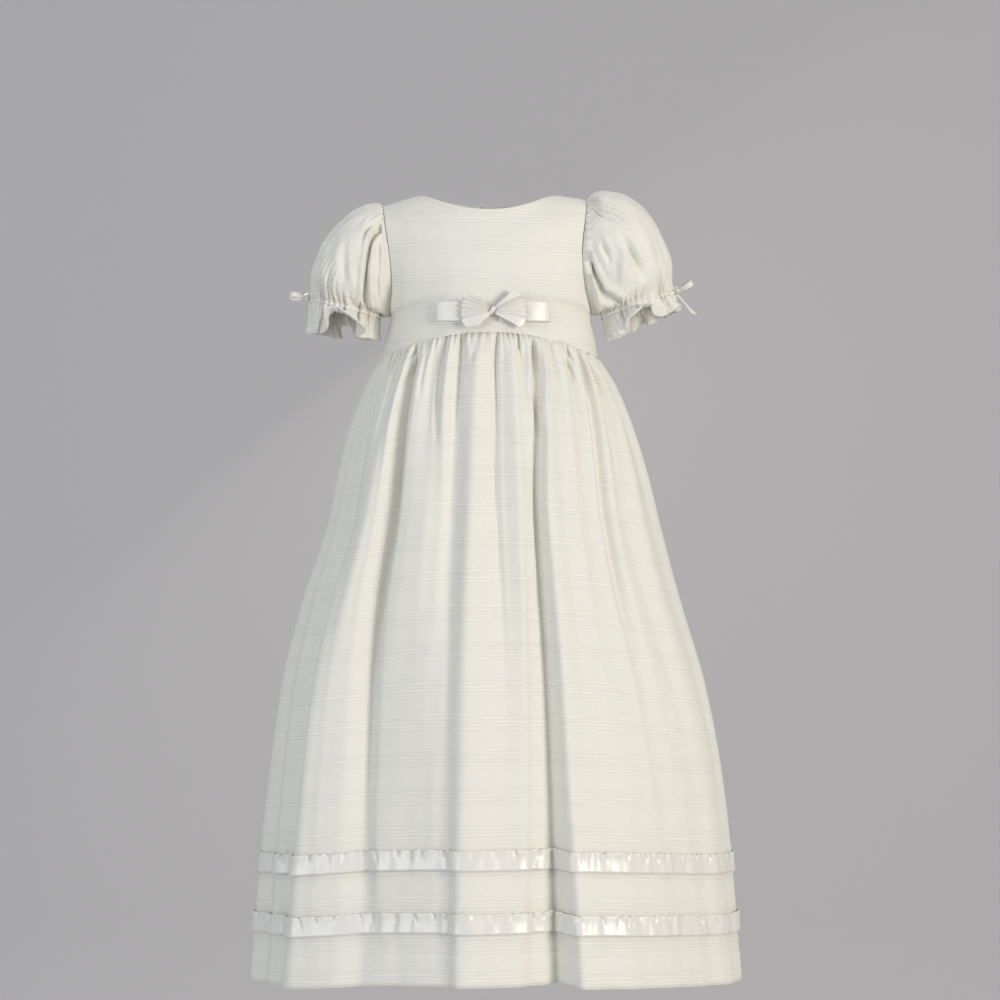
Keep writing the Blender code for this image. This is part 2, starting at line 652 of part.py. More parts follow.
def build_bow(collection):
    for name, side in (("left", -1.0), ("right", 1.0)):
        reach = 50.0
        path = (
            (6.0, 0.8), (18.0, 0.8), (32.0, 0.8), (44.0, 0.9), (reach - 1.2, 1.2),
            (reach, 2.6), (reach - 1.2, 4.1), (44.0, 4.4), (32.0, 4.4), (18.0, 4.4), (6.0, 4.4),
        )
        rows = []
        for up in (-9.2, 0.0, 8.8):
            rows.append([bow_place(side * a, up, out) for a, out in path])
        points = np.array(rows)
        if side < 0:
            points = points[:, ::-1]
        sheet("bow_loop_" + name, points, collection, SATIN, RIBBON_WALL, outwards=True)

        outline = FAN_LEFT if side < 0 else FAN_RIGHT
        across = np.linspace(0, len(outline) - 1, 13)
        lines = np.arange(len(outline))
        edge_x = curve(across, lines, [p[0] for p in outline])
        edge_z = curve(across, lines, [p[1] for p in outline])
        rows = []
        for index in range(13):
            start = np.array([side * 4.9, -3.6 + 7.2 * index / 12.0])
            end = np.array([edge_x[index], edge_z[index]])
            pleat = 1.3 if index % 2 else -1.3
            row = []
            for part in (0.0, 0.3, 0.65, 1.0):
                place = start + (end - start) * part
                out = 6.8 + 1.4 * part**0.5 + pleat * (0.35 + 0.65 * part) + 1.0 * math.sin(math.pi * part)
                row.append(bow_place(place[0], place[1], out))
            rows.append(row)
        points = np.array(rows)
        if side < 0:
            points = points[:, ::-1]
        sheet("bow_fan_" + name, points, collection, SATIN, RIBBON_WALL)

    point, normal = front_at(BOW_X, BOW_Z)
    bm = bmesh.new()
    bmesh.ops.create_uvsphere(bm, u_segments=16, v_segments=10, radius=1.0)
    for vert in bm.verts:
        vert.co.x *= 4.7 * MM
        vert.co.y *= 4.6 * MM
        vert.co.z *= 6.4 * MM
    centre = finish("bow_centre", bm, collection, SATIN, 0.35)
    centre.location = [float(v) * MM for v in point + normal * 5.0]


def build_gown():
    for piece in list(bpy.data.objects):
        bpy.data.objects.remove(piece, do_unlink=True)
    collection = bpy.data.collections.new("christening_gown")
    bpy.context.scene.collection.children.link(collection)
    build_bodice(collection)
    build_skirt(collection)
    build_sleeve(collection, "left", -1.0, SLEEVE_LEFT, FOLDS_LEFT, RUFFLE_LEFT, TAIL_LEFT)
    build_sleeve(collection, "right", 1.0, SLEEVE_RIGHT, FOLDS_RIGHT, RUFFLE_RIGHT, TAIL_RIGHT)
    build_bow(collection)


build_gown()
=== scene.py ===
"""Christening gown: cotton woven in ribs, satin ribbon bands, cuff ties and a front bow.

Each cloth piece is a thin shell laid on the form of its solid, with its folds,
gathers and stitching. Tables are in millimetres and degrees, meshes in metres.
X runs to the right seen from the front, the front faces -Y, and +Z is up.
"""

import math

import bmesh
import bpy
import numpy as np
from mathutils import Matrix, Vector


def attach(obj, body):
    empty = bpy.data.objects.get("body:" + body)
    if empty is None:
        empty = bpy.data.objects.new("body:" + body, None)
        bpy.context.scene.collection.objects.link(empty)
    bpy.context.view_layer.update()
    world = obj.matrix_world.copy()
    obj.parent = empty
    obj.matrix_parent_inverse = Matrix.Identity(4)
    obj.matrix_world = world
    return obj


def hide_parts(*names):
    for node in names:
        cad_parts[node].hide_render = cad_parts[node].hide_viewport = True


bl_info = {
    "name": "Christening gown",
    "version": (1, 0, 0),
    "blender": (4, 5, 0),
    "location": "3D View > Sidebar > Gown",
    "description": "Dresses the gown's frame in cotton, satin ribbon, buttons and stitching",
    "category": "Object",
}

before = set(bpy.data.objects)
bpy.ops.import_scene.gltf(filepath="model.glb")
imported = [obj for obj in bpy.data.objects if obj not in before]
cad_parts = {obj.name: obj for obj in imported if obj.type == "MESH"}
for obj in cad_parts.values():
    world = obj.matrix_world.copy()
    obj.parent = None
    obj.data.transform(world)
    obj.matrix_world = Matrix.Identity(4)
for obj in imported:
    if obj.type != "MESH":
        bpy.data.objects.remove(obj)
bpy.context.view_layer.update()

MM = 0.001
BODY = "root"

# Sizes of the solids
WALL = 1.4
SEAM = 0.06
WAIST_CENTRE_Z = -121.6
WAIST_SIDE_Z = -142.4
WAIST_BACK_Z = -139.0
SHOULDER_LEFT_Z = -3.0
SHOULDER_RIGHT_Z = 3.0
NECK_SHARE = 0.64
NECK_SIDE_Z = 8.0
NECK_FRONT_Z = -10.0
NECK_BACK_Z = 1.0
NECK_FRONT_DEPTH = 45.0
NECK_BACK_DEPTH = 36.0
ARMHOLE_DEPTH = 33.0
UNDERARM = 0.275
HEM_SIDE_Z = -711.0
HEM_FRONT_Z = -692.0
HEM_BACK_Z = -704.0
BACK_LAP = 7.0
SKIRT_LENGTH = 575.0
FOLD_SCALE = 1.18

# Bodice half widths up the panel: share of the height, left, right
BODICE_WIDTHS = (
    (0, 97.6, 98.8),
    (0.115, 95, 96.5),
    (0.275, 91.6, 92.6),
    (0.427, 88.6, 86.5),
    (0.635, 90.5, 83.8),
    (0.844, 95, 86.5),
    (1, 98, 89),
)

# Bodice depth at the centre: share of the height, front, back
BODICE_DEPTHS = (
    (0, 68, 66),
    (0.3, 66, 63),
    (0.6, 61, 57),
    (0.85, 52, 47),
    (1, 45, 36),
)

# Skirt sections: share down the skirt, half width left, right, half depth front, back
SKIRT_SECTIONS = (
    (0, 97.6, 98.8, 68, 66),
    (0.062, 115, 117, 80, 78),
    (0.131, 128, 132, 91, 90),
    (0.201, 137, 144, 99, 98),
    (0.28, 147, 155, 107, 106),
    (0.398, 169, 173, 119, 118),
    (0.526, 187, 194, 130, 128),
    (0.655, 197, 208, 138, 136),
    (0.793, 205, 217, 144, 142),
    (1, 214, 226, 150, 148),
)

SKIRT_LEVELS = (0, 0.3, 0.62, 1)
UPPER_BAND = (0.794, 0.8255)
LOWER_BAND = (0.889, 0.9205)
HEM_LINE = 0.952

# Rows down the skirt: from, to, how many
SKIRT_ROWS = (
    (0, 0.1, 34), (0.1, 0.3, 20), (0.3, 0.794, 34), (0.794, 0.8255, 8),
    (0.8255, 0.889, 8), (0.889, 0.9205, 8), (0.9205, 0.947, 4), (0.947, 0.957, 8), (0.957, 1, 6),
)

# Front folds from the left side seam to the right one. A row is one crest or one
# trough: its angle round the skirt at the four levels, then how far it stands out.
FRONT_FOLDS = (
    (-90, -90, -90, -90, 0, 0, 0, 0),
    (-83, -83, -82, -82, 3, 3, 4, 5),
    (-76, -75, -74, -74, -2, -1, -3, -4),
    (-70, -68, -68, -68, 3, 2, 1, 0),
    (-64.8, -61.5, -62, -63, -3, -5, -6, -7),
    (-59.5, -57.5, -57.5, -59, 2, -3, -3, -1),
    (-54.9, -54.5, -54.5, -55.5, -3, -1, 5, 9),
    (-50.8, -51.2, -51.5, -52, 3, 7, 12, 13),
    (-47, -47, -46.5, -46, -2, 8, 9, 9),
    (-43.6, -42, -40, -38.5, 4, 5, 2, 3),
    (-40, -35.8, -33.8, -31.5, -5, -9, -10, -4),
    (-33, -31.5, -30.5, -25, 3, 2, -4, -3),
    (-25.6, -23, -21, -18, -4, 2, -2, 0),
    (-19, -17, -15, -13, 3, 1, 1, 3),
    (-15, -12.6, -10.9, -9.4, -5, -3, 3, 6),
    (-5, -5.8, -6, -6.2, 4, 6, 11, 12),
    (2.5, 3, 4.5, 4, -3, -1, 4, 8),
    (10.5, 9.6, 8.6, 7.6, 4, 5, 4, 4),
    (15, 12, 10.2, 9.6, -3, 2, 0, -1),
    (20, 13.8, 12.8, 12.6, 2, -3, -3, -4),
    (22.8, 15.3, 15, 15.6, -5, -9, -10, -14),
    (27, 19, 18.8, 20.2, 4, 8, 10, 15),
    (31.2, 24.5, 25, 27, -2, 4, 6, 11),
    (36, 29.5, 31, 33, 3, 4, 5, 9),
    (40.3, 34.5, 37, 39, -2, 1, 3, 5),
    (45.5, 38, 41.5, 45, 3, 3, 2, 2),
    (50.9, 41.5, 45.5, 50, -4, -4, 0, 0),
    (55, 46, 50.5, 56, 3, 2, 1, -1),
    (59.6, 52, 57, 62, -3, -1, 0, -2),
    (67, 61, 65, 69, 4, 4, 3, 2),
    (76, 73, 75, 77, -2, 0, 1, 3),
    (83, 82.5, 83, 84, 3, 3, 4, 4),
    (90, 90, 90, 90, 0, 0, 0, 0),
)

# Back folds from the right side seam round to the left one, in the same columns
BACK_FOLDS = (
    (90, 90, 90, 90, 0, 0, 0, 0),
    (97, 97, 98, 98, 3, 4, 5, 5),
    (105, 108, 108, 107, -3, -4, -5, -7),
    (113, 117, 116, 116, 3, 2, -1, -3),
    (121, 124, 123, 124, -4, 0, 3, 5),
    (129, 130, 131, 133, 3, 6, 9, 12),
    (137, 138, 139, 142, -4, 1, 4, 6),
    (144, 144, 146, 150, 4, 0, -3, -6),
    (151, 152, 154, 157, -4, -7, -9, -12),
    (158, 158, 161, 164, 3, 6, 8, 10),
    (166, 166, 168, 170, -3, 3, 6, 8),
    (173, 174, 175, 176, 3, 2, 0, -2),
    (181, 181, 182, 182, -5, -8, -9, -10),
    (189, 190, 191, 192, 4, 7, 8, 9),
    (197, 198, 199, 201, -3, 2, 5, 8),
    (205, 206, 207, 210, 3, 0, -2, -4),
    (213, 213, 215, 217, -4, -6, -8, -9),
    (221, 221, 223, 226, 4, 6, 8, 11),
    (230, 231, 233, 236, -3, 0, 3, 7),
    (239, 241, 243, 245, 3, -1, -3, -4),
    (248, 249, 251, 252, -4, -5, -6, -8),
    (257, 258, 259, 260, 3, 4, 5, 5),
    (270, 270, 270, 270, 0, 0, 0, 0),
)

# Sides of the skirt: name, folds, columns between fold lines, seed
SKIRT_SIDES = (("front", FRONT_FOLDS, 10, 11), ("back", BACK_FOLDS, 14, 61))

# Sleeve sections: share from armhole to cuff, under point (out, up), top point
# (out, up), half depth to the front and back. Out is away from the middle.
SLEEVE_LEFT = (
    (0, 92.2, -104.1, 98.6, -3, 33),
    (0.05, 93.6, -104.7, 103.5, -1, 35.5),
    (0.14, 95, -105, 112, -1.5, 38.5),
    (0.27, 96.4, -104.9, 124, -6, 41),
    (0.42, 97.8, -104.6, 138, -17.5, 42.5),
    (0.57, 99, -103.9, 150, -32, 42.5),
    (0.72, 100.1, -103, 158.5, -48, 41),
    (0.86, 101, -102, 163.5, -67, 37.5),
    (1, 101.8, -100.8, 161.5, -86, 29.5),
)
SLEEVE_RIGHT = (
    (0, 93.2, -102.4, 89.6, 3, 33),
    (0.05, 94.4, -102.7, 95, 8, 35.5),
    (0.14, 95.8, -102.9, 104.5, 10.5, 38.5),
    (0.27, 97.2, -103, 118.5, 9, 41),
    (0.42, 98.5, -102.7, 135, 0.5, 42.5),
    (0.57, 99.7, -102.7, 149, -14.5, 42.5),
    (0.72, 100.8, -102.5, 159, -34, 41),
    (0.86, 101.8, -102.1, 166, -57, 37.5),
    (1, 102.8, -101.5, 165, -79.5, 29.5),
)
CUFF_WIDTH = 6.0
SLEEVE_COLUMNS = 308
# Rings of a sleeve, counted from the armhole: the cuff's first one and its ribbon's two
CUFF_RING = 62
RIBBON_RINGS = (65, 68)
RUFFLE_LENGTHS = {-1: (24, 5), 1: (17.5, -2)}

# Folds that start at a seam. A row is the line of one fold, as (share, angle) points
# from the seam on, then its height (a groove is negative) and its half width.
WAIST_FOLDS_FRONT = (
    (((0, -74), (0.09, -70)), -2.5, 4),
    (((0, -62), (0.103, -57.5)), -3, 4.5),
    (((0, -52), (0.08, -47)), -3, 3.4),
    (((0, -43), (0.077, -37.8), (0.3, -36.2), (0.45, -35.2), (0.62, -34.2), (0.8, -33)), -5, 3.6),
    (((0, -33), (0.12, -30)), -2.8, 3.2),
    (((0, -23.4), (0.103, -22), (0.193, -20)), -4.4, 3.6),
    (((0, -14.2), (0.088, -13), (0.19, -12.6)), -4, 3.4),
    (((0, -6.5), (0.06, -8)), -2.4, 2.6),
    (((0, 3.3), (0.035, 2.9), (0.143, 2.4), (0.232, 2.2), (0.355, 3.1), (0.6, 4.2)), -3.8, 2.6),
    (((0, 14), (0.01, 15), (0.052, 10.5)), -3, 2.6),
    (((0, 23.5), (0.1, 18.5), (0.16, 19), (0.21, 19.2)), -4.4, 3.2),
    (((0, 33), (0.03, 31)), -2.6, 2.6),
    (((0.03, 29.5), (0.15, 20.8)), -2.2, 3),
    (((0, 44), (0.09, 36)), -2.8, 3.4),
    (((0, 53.4), (0.133, 41.2)), -2.8, 4.2),
    (((0, 61), (0.128, 54)), -3, 4.2),
    (((0, 69), (0.11, 63.5)), -2.6, 4),
    (((0, 79), (0.09, 75.5)), -2.2, 3.6),
)
WAIST_FOLDS_BACK = (
    (((0, 101), (0.08, 104)), -2.4, 3.6),
    (((0, 110), (0.13, 112)), -3.2, 4.2),
    (((0, 121), (0.07, 122)), -3.6, 3.2),
    (((0, 133), (0.16, 135)), -4.2, 3.6),
    (((0, 147), (0.06, 148)), -2.8, 3),
    (((0, 155), (0.19, 152.5)), -4.6, 3.6),
    (((0, 169), (0.09, 166)), -3, 3.2),
    (((0, 184), (0.22, 181)), -4.8, 3.6),
    (((0, 193), (0.05, 194)), -2.6, 2.8),
    (((0, 201), (0.13, 203)), -3.8, 3.6),
    (((0, 216), (0.2, 213)), -4.4, 3.6),
    (((0, 227), (0.07, 229)), -3, 3.2),
    (((0, 237), (0.12, 239)), -3.4, 4),
    (((0, 249), (0.1, 247)), -3, 4),
    (((0, 258), (0.07, 256)), -2.2, 3.4),
)
FOLDS_LEFT = (
    (((0.02, 57), (0.12, 66), (0.29, 92), (0.52, 116), (0.8, 129), (1, 134)), -9, 7),
    (((0.02, 76), (0.07, 102), (0.25, 136), (0.6, 146), (0.9, 150)), 3.2, 7),
    (((0.02, 52), (0.1, 54), (0.18, 60), (0.27, 68), (0.36, 75)), -3.8, 3),
    (((0.02, 44), (0.12, 46), (0.22, 52), (0.34, 62)), 1.6, 4.5),
    (((0.38, 50), (0.55, 70), (0.72, 84), (0.9, 86)), -2.8, 9),
    (((0.2, 30), (0.4, 24), (0.62, 30)), -1.8, 6),
    (((0.5, 26), (0.74, 38), (0.92, 46)), 2, 9),
    (((0.72, 60), (0.88, 64), (1, 66)), -3, 5),
    (((0.02, 304), (0.2, 286), (0.45, 258), (0.72, 236), (1, 226)), -7.5, 7),
    (((0.02, 322), (0.15, 314), (0.34, 298), (0.5, 290)), -3.2, 4),
    (((0.3, 300), (0.55, 280), (0.85, 268)), 2.6, 9),
    (((0.42, 346), (0.7, 336), (1, 330)), -3, 7),
    (((0.06, 236), (0.4, 214), (0.9, 206)), -4, 6),
)
FOLDS_RIGHT = (
    (((0, 10), (0.12, 34), (0.3, 41)), -2.4, 2.8),
    (((0, 17), (0.13, 42), (0.33, 48.5), (0.52, 54)), -3.4, 2.8),
    (((0, 25), (0.13, 49.5), (0.33, 55.5), (0.5, 62)), -4, 3),
    (((0, 34), (0.13, 57), (0.3, 63), (0.42, 69)), -3.2, 3),
    (((0, 87), (0.03, 106), (0.2, 124), (0.43, 134), (0.75, 131), (0.97, 124)), -8, 7),
    (((0.3, 70), (0.45, 76), (0.6, 80), (0.75, 80), (0.93, 73)), -6, 6),
    (((0.36, 84), (0.6, 98), (0.82, 104)), 3.4, 8),
    (((0.1, 84), (0.22, 91), (0.36, 102)), -4.4, 6),
    (((0.08, 126), (0.35, 152), (0.8, 150)), 3.2, 8),
    (((0.5, 52), (0.72, 56), (0.94, 50)), 2.2, 7),
    (((0.6, 28), (0.82, 30), (1, 32)), -2.6, 6),
    (((0.02, 272), (0.15, 252), (0.45, 234), (0.75, 230), (1, 236)), -7.5, 7),
    (((0, 334), (0.14, 314), (0.34, 304), (0.52, 298)), -3.2, 3),
    (((0, 342), (0.12, 324), (0.3, 314)), -2.6, 2.8),
    (((0.34, 290), (0.6, 276), (0.94, 284)), -5, 6),
    (((0.44, 262), (0.8, 256)), 2.8, 8),
)

# Ruffle flutes: angle round the cuff and how far the ruffle leans out there
RUFFLE_LEFT = (
    (0, 4), (18, 14), (34, 2), (48, 18), (59, 8), (69, 48), (80, 86), (95, 88), (105, 56),
    (113, 12), (124, 4), (140, 12), (156, 2), (172, 9), (190, 2), (210, 11), (228, 4),
    (244, 20), (256, 26), (268, 64), (280, 40), (292, 8), (310, 26), (326, 4), (344, 15),
)
RUFFLE_RIGHT = (
    (0, 6), (14, 26), (26, 8), (36, 40), (45, 14), (54, 34), (62, 12), (70, 42), (79, 82),
    (93, 88), (103, 56), (111, 12), (124, 3), (140, 12), (158, 2), (178, 9), (196, 2),
    (214, 12), (230, 4), (246, 30), (258, 8), (272, 40), (288, 8), (304, 36), (320, 6),
    (340, 18),
)

# Free ribbon ends: the left one hangs inside the cuff, the right one from the knot
TAIL_LEFT = (
    (-131.5, -26.3, -95.5), (-130.8, -25.8, -102), (-128.8, -25.6, -110),
    (-126, -26.2, -119),
)
TAIL_RIGHT = (
    (171.8, -0.7, -84), (176.6, -1.6, -89), (182, -2.4, -95.5), (188, -3, -102.5),
)

# Bow outline seen from the front, from the bow's centre: across, up
FAN_LEFT = (
    (-11.5, -14.2), (-21.5, -15.4), (-26.6, -10), (-27.6, -3), (-27, 5), (-24.9, 12.6),
)
FAN_RIGHT = (
    (23.6, -15.7), (27.8, -11), (29.2, -3), (28.4, 6), (24.6, 13.2), (17.6, 18.4),
)
# Fan pleats: share up the fan, depth, half width
PLEATS_LEFT = (
    (0.47, 1.5, 0.052), (0.60, 1.2, 0.040), (0.70, 1.5, 0.045), (0.81, 1.1, 0.040), (0.91, 1.5, 0.045),
)
PLEATS_RIGHT = (
    (0.30, 1.1, 0.045), (0.42, 1.5, 0.045), (0.53, 1.1, 0.038), (0.63, 1.5, 0.045), (0.75, 2.2, 0.055),
)
# Ribbon loops, from the middle out and back: away, then off the cloth or up
BOW_LOOP = (
    (6.0, 0.8), (18.0, 0.8), (32.0, 0.8), (44.0, 0.9), (48.8, 1.2), (50.0, 2.6),
    (48.8, 4.1), (44.0, 4.5), (32.0, 4.4), (18.0, 4.4), (6.0, 4.4),
)
CUFF_LOOP = (
    (2.2, 0.5), (4.0, 2.0), (7.0, 3.2), (11.0, 3.7), (14.6, 2.9), (16.2, 0.4),
    (14.8, -2.3), (11.0, -3.1), (7.0, -2.4), (4.0, -1.3), (2.2, -0.4),
)
BOW_X = 2.6
BOW_Z = -104.0

# Back buttons: their heights up the bodice, and half a button's outline (out, up)
BUTTON_HEIGHTS = (0.22, 0.54, 0.86)
BUTTON_LIFT = 2.25
BUTTON_OUTLINE = (
    (0.0, 0.25), (1.9, 0.25), (2.5, 0.45), (3.3, 0.9), (3.9, 1.0), (4.3, 0.75),
    (4.45, 0.2), (4.4, -0.5), (3.9, -0.95), (0.0, -1.1),
)

# Camera and light: the lens frames 0.92 m at the gown's middle, 2.4 m away
CAMERA_PLACE = (0.0092, -2.4, -0.273)
CAMERA_LENS = 93.9
FLOOR_Z = -2.2
# Lights: name, place in metres, size, watts, colour
LIGHTS = (
    ("key_light", (2.85, -2.9, 0.0), 1.3, 94.0, (1.0, 0.93, 0.85)),
    ("fill_light", (-2.8, -3.0, -0.2), 2.0, 53.0, (0.82, 0.90, 1.0)),
    ("top_light", (0.2, -1.2, 2.4), 1.6, 16.0, (1.0, 0.99, 0.97)),
    ("back_light", (-0.9, 2.7, 0.9), 1.6, 30.0, (1.0, 0.98, 0.95)),
)


# Curves, tables and noise


def curve(x, xs, ys):
    """A smooth curve through the points (xs, ys) that doesn't overshoot them."""
    x = np.asarray(x, dtype=float)
    xs = np.asarray(xs, dtype=float)
    ys = np.asarray(ys, dtype=float)
    step = np.diff(xs)
    slope = np.diff(ys) / step
    tangent = np.empty(len(xs))
    tangent[0] = slope[0]
    tangent[-1] = slope[-1]
    same = slope[:-1] * slope[1:] > 0
    mean = 2.0 * slope[:-1] * slope[1:] / np.where(same, slope[:-1] + slope[1:], 1.0)
    tangent[1:-1] = np.where(same, mean, 0.0)
    i = np.clip(np.searchsorted(xs, x, side="right") - 1, 0, len(step) - 1)
    u = np.clip((x - xs[i]) / step[i], 0.0, 1.0)
    h = step[i]
    return (
        ys[i] * (1 + 2 * u) * (1 - u) ** 2
        + h * tangent[i] * u * (1 - u) ** 2
        + ys[i + 1] * u * u * (3 - 2 * u)
        + h * tangent[i + 1] * u * u * (u - 1)
    )


def column(table, index):
    return [row[index] for row in table]


def line_through(table, places):
    """Smooth curves through each column of a table, at places counted in rows."""
    rows = np.arange(len(table))
    return [curve(places, rows, column(table, k)) for k in range(len(table[0]))]


def round_curve(angle, table):
    """A smooth curve round a ring from rows of (angle, value)."""
    angles = column(table, 0)
    values = column(table, 1)
    turns = [a - 360 for a in angles] + angles + [a + 360 for a in angles]
    return curve(np.mod(angle, 360.0), turns, values * 3)


def bump(distance, half_width):
    """1 at no distance and 0 from half_width on, smooth between."""
    x = np.clip(np.abs(distance) / half_width, 0.0, 1.0)
    return 0.5 * (1.0 + np.cos(math.pi * x))


def ease(x, start, end):
    """0 before start, 1 after end, smooth between."""
    t = np.clip((np.asarray(x, dtype=float) - start) / (end - start), 0.0, 1.0)
    return t * t * (3.0 - 2.0 * t)


def uneven(u, v, seed, around=89):
    """Smooth unevenness from -1 to 1, one bump to a unit of u and of v."""
    values = np.random.default_rng(seed).uniform(-1.0, 1.0, (89, 89))
    u, v = np.broadcast_arrays(np.asarray(u, dtype=float), np.asarray(v, dtype=float))
    iu = np.floor(u).astype(int)
    iv = np.floor(v).astype(int)
    fu = ease(u - iu, 0.0, 1.0)
    fv = ease(v - iv, 0.0, 1.0)
    u0 = iu % around
    u1 = (iu + 1) % around
    v0 = iv % 89
    v1 = (iv + 1) % 89
    low = values[u0, v0] * (1 - fu) + values[u1, v0] * fu
    high = values[u0, v1] * (1 - fu) + values[u1, v1] * fu
    return low * (1 - fv) + high * fv


def gather_wave(phase):
    """Round crests and sharp valleys, from -1 to 1, one to a turn of phase."""
    return 2.0 * np.abs(np.sin(0.5 * phase)) ** 0.8 - 1.0


def seam_folds(folds, share, angle, reach):
    """How far the folds move the cloth at a share and at each angle, in millimetres.

    reach is the cloth's width in millimetres for one degree of angle.
    """
    out = np.zeros(len(angle))
    for line, deep, width in folds:
        shares = column(line, 0)
        if share < shares[0] or share > shares[-1]:
            continue
        centre = float(curve(share, shares, column(line, 1)))
        apart = (np.mod(angle - centre + 180.0, 360.0) - 180.0) * reach
        part = (share - shares[0]) / (shares[-1] - shares[0])
        strength = 1.0 if shares[0] < 0.025 else float(ease(part, 0.0, 0.4))
        if shares[-1] < 0.96:
            strength *= float(1.0 - ease(part, 0.45, 1.0))
        if deep < 0:
            near = np.clip(1.0 - np.abs(apart) / width, 0.0, 1.0) ** 1.3
            beside = bump(apart - 1.25 * width, 0.9 * width) + bump(apart + 1.25 * width, 0.9 * width)
            out += strength * deep * (near - 0.22 * beside)
        else:
            out += strength * deep * bump(apart, 1.6 * width)
    return out


def unit(vectors):
    """Vectors brought to length 1 along their last axis."""
    return vectors / np.linalg.norm(vectors, axis=-1, keepdims=True)


def run_length(points):
    """Distance along a line of points from its first one."""
    steps = np.linalg.norm(np.diff(points, axis=0), axis=1)
    return np.concatenate([[0.0], np.cumsum(steps)])


def grid_normals(points, closed=False):
    """Unit normals of a grid of points, rows going up and columns to the right."""
    if closed:
        wide = np.concatenate([points[:, -1:], points, points[:, :1]], axis=1)
        across = wide[:, 2:] - wide[:, :-2]
    else:
        across = np.gradient(points, axis=1)
    up = np.gradient(points, axis=0)
    return unit(np.cross(across, up))


def push(points, amount, closed=False):
    """The grid moved out along its normals by an amount at each point."""
    return points + grid_normals(points, closed) * np.asarray(amount)[..., None]


# Forms of the panels


def waist_height(angle):
    """Height of the waist seam at an angle in degrees: 0 is centre front."""
    a = np.radians(angle)
    across = np.sin(a) ** 2
    centre = np.where(np.cos(a) >= 0, WAIST_CENTRE_Z, WAIST_BACK_Z)
    return centre + (WAIST_SIDE_Z - centre) * across


def half_widths(height):
    """Half widths of the bodice at a height, to the left and to the right."""
    heights = column(BODICE_WIDTHS, 0)
    return [curve(height, heights, column(BODICE_WIDTHS, k)) for k in (1, 2)]


def bodice_points(share, height, back=False):
    """Points of the bodice's outer face. share runs -1 to 1 across, height 0 to 1 up."""
    share, height = np.broadcast_arrays(np.asarray(share, float), np.asarray(height, float))
    angle = np.degrees(np.arcsin(np.clip(share, -1.0, 1.0)))
    left, right = half_widths(height)
    x = share * np.where(share < 0, left, right)
    waist = waist_height(180.0 - angle if back else angle)
    neck = NECK_BACK_Z if back else NECK_FRONT_Z
    shoulder = np.where(share < 0, SHOULDER_LEFT_Z, SHOULDER_RIGHT_Z)
    inside = np.abs(share) / NECK_SHARE
    round_neck = neck + (NECK_SIDE_Z - neck) * np.minimum(inside, 1.0) ** 2.2
    slope = (inside - 1.0) / (1.0 / NECK_SHARE - 1.0)
    along_shoulder = NECK_SIDE_Z + (shoulder - NECK_SIDE_Z) * slope
    top = np.where(inside <= 1.0, round_neck, along_shoulder)
    z = waist + (top - waist) * height
    centre = curve(height, column(BODICE_DEPTHS, 0), column(BODICE_DEPTHS, 2 if back else 1))
    middle = 0.5 * (1.0 + UNDERARM)
    half = 0.5 * (1.0 - UNDERARM)
    oval = np.sqrt(np.maximum(0.0, 1.0 - ((height - middle) / half) ** 2))
    edge = ARMHOLE_DEPTH * np.where(height < middle, oval, 1.0)
    edge = np.where(height <= UNDERARM, 0.0, edge)
    cosine = np.sqrt(np.maximum(0.0, 1.0 - share * share))
    rise = np.clip((height - UNDERARM) / 0.35, 0.0, 1.0)
    body = edge + (centre - edge) * cosine ** (1.0 + 0.7 * rise)
    neck_depth = NECK_BACK_DEPTH if back else NECK_FRONT_DEPTH
    top_depth = neck_depth * (1.0 - np.minimum(inside, 1.0) ** 2.4) ** 0.6
    above = np.maximum(0.0, (height - middle) / half)
    over_neck = 1.0 - above**2.4
    over_shoulder = np.sqrt(np.maximum(0.0, 1.0 - above * above))
    blend = ease(np.abs(share), 0.42, 0.66)
    over = over_neck + (over_shoulder - over_neck) * blend
    y = top_depth + (body - top_depth) * over
    y = y + SEAM * np.maximum(0.0, 1.0 - y / 6.0)
    return np.stack([x, y if back else -y, z], axis=-1)


def front_at(x, z):
    """Points and normals of the front bodice at places seen from the front."""
    x, z = np.broadcast_arrays(np.asarray(x, float), np.asarray(z, float))

    def find(px, pz):
        height = np.full(px.shape, 0.3)
        for _ in range(20):
            left, right = half_widths(height)
            share = px / np.where(px < 0, left, right)
            low = bodice_points(share, np.zeros(px.shape))[..., 2]
            high = bodice_points(share, np.ones(px.shape))[..., 2]
            height = (pz - low) / (high - low)
        return bodice_points(share, height)

    across = find(x + 2.0, z) - find(x - 2.0, z)
    up = find(x, z + 2.0) - find(x, z - 2.0)
    return find(x, z), unit(np.cross(across, up))


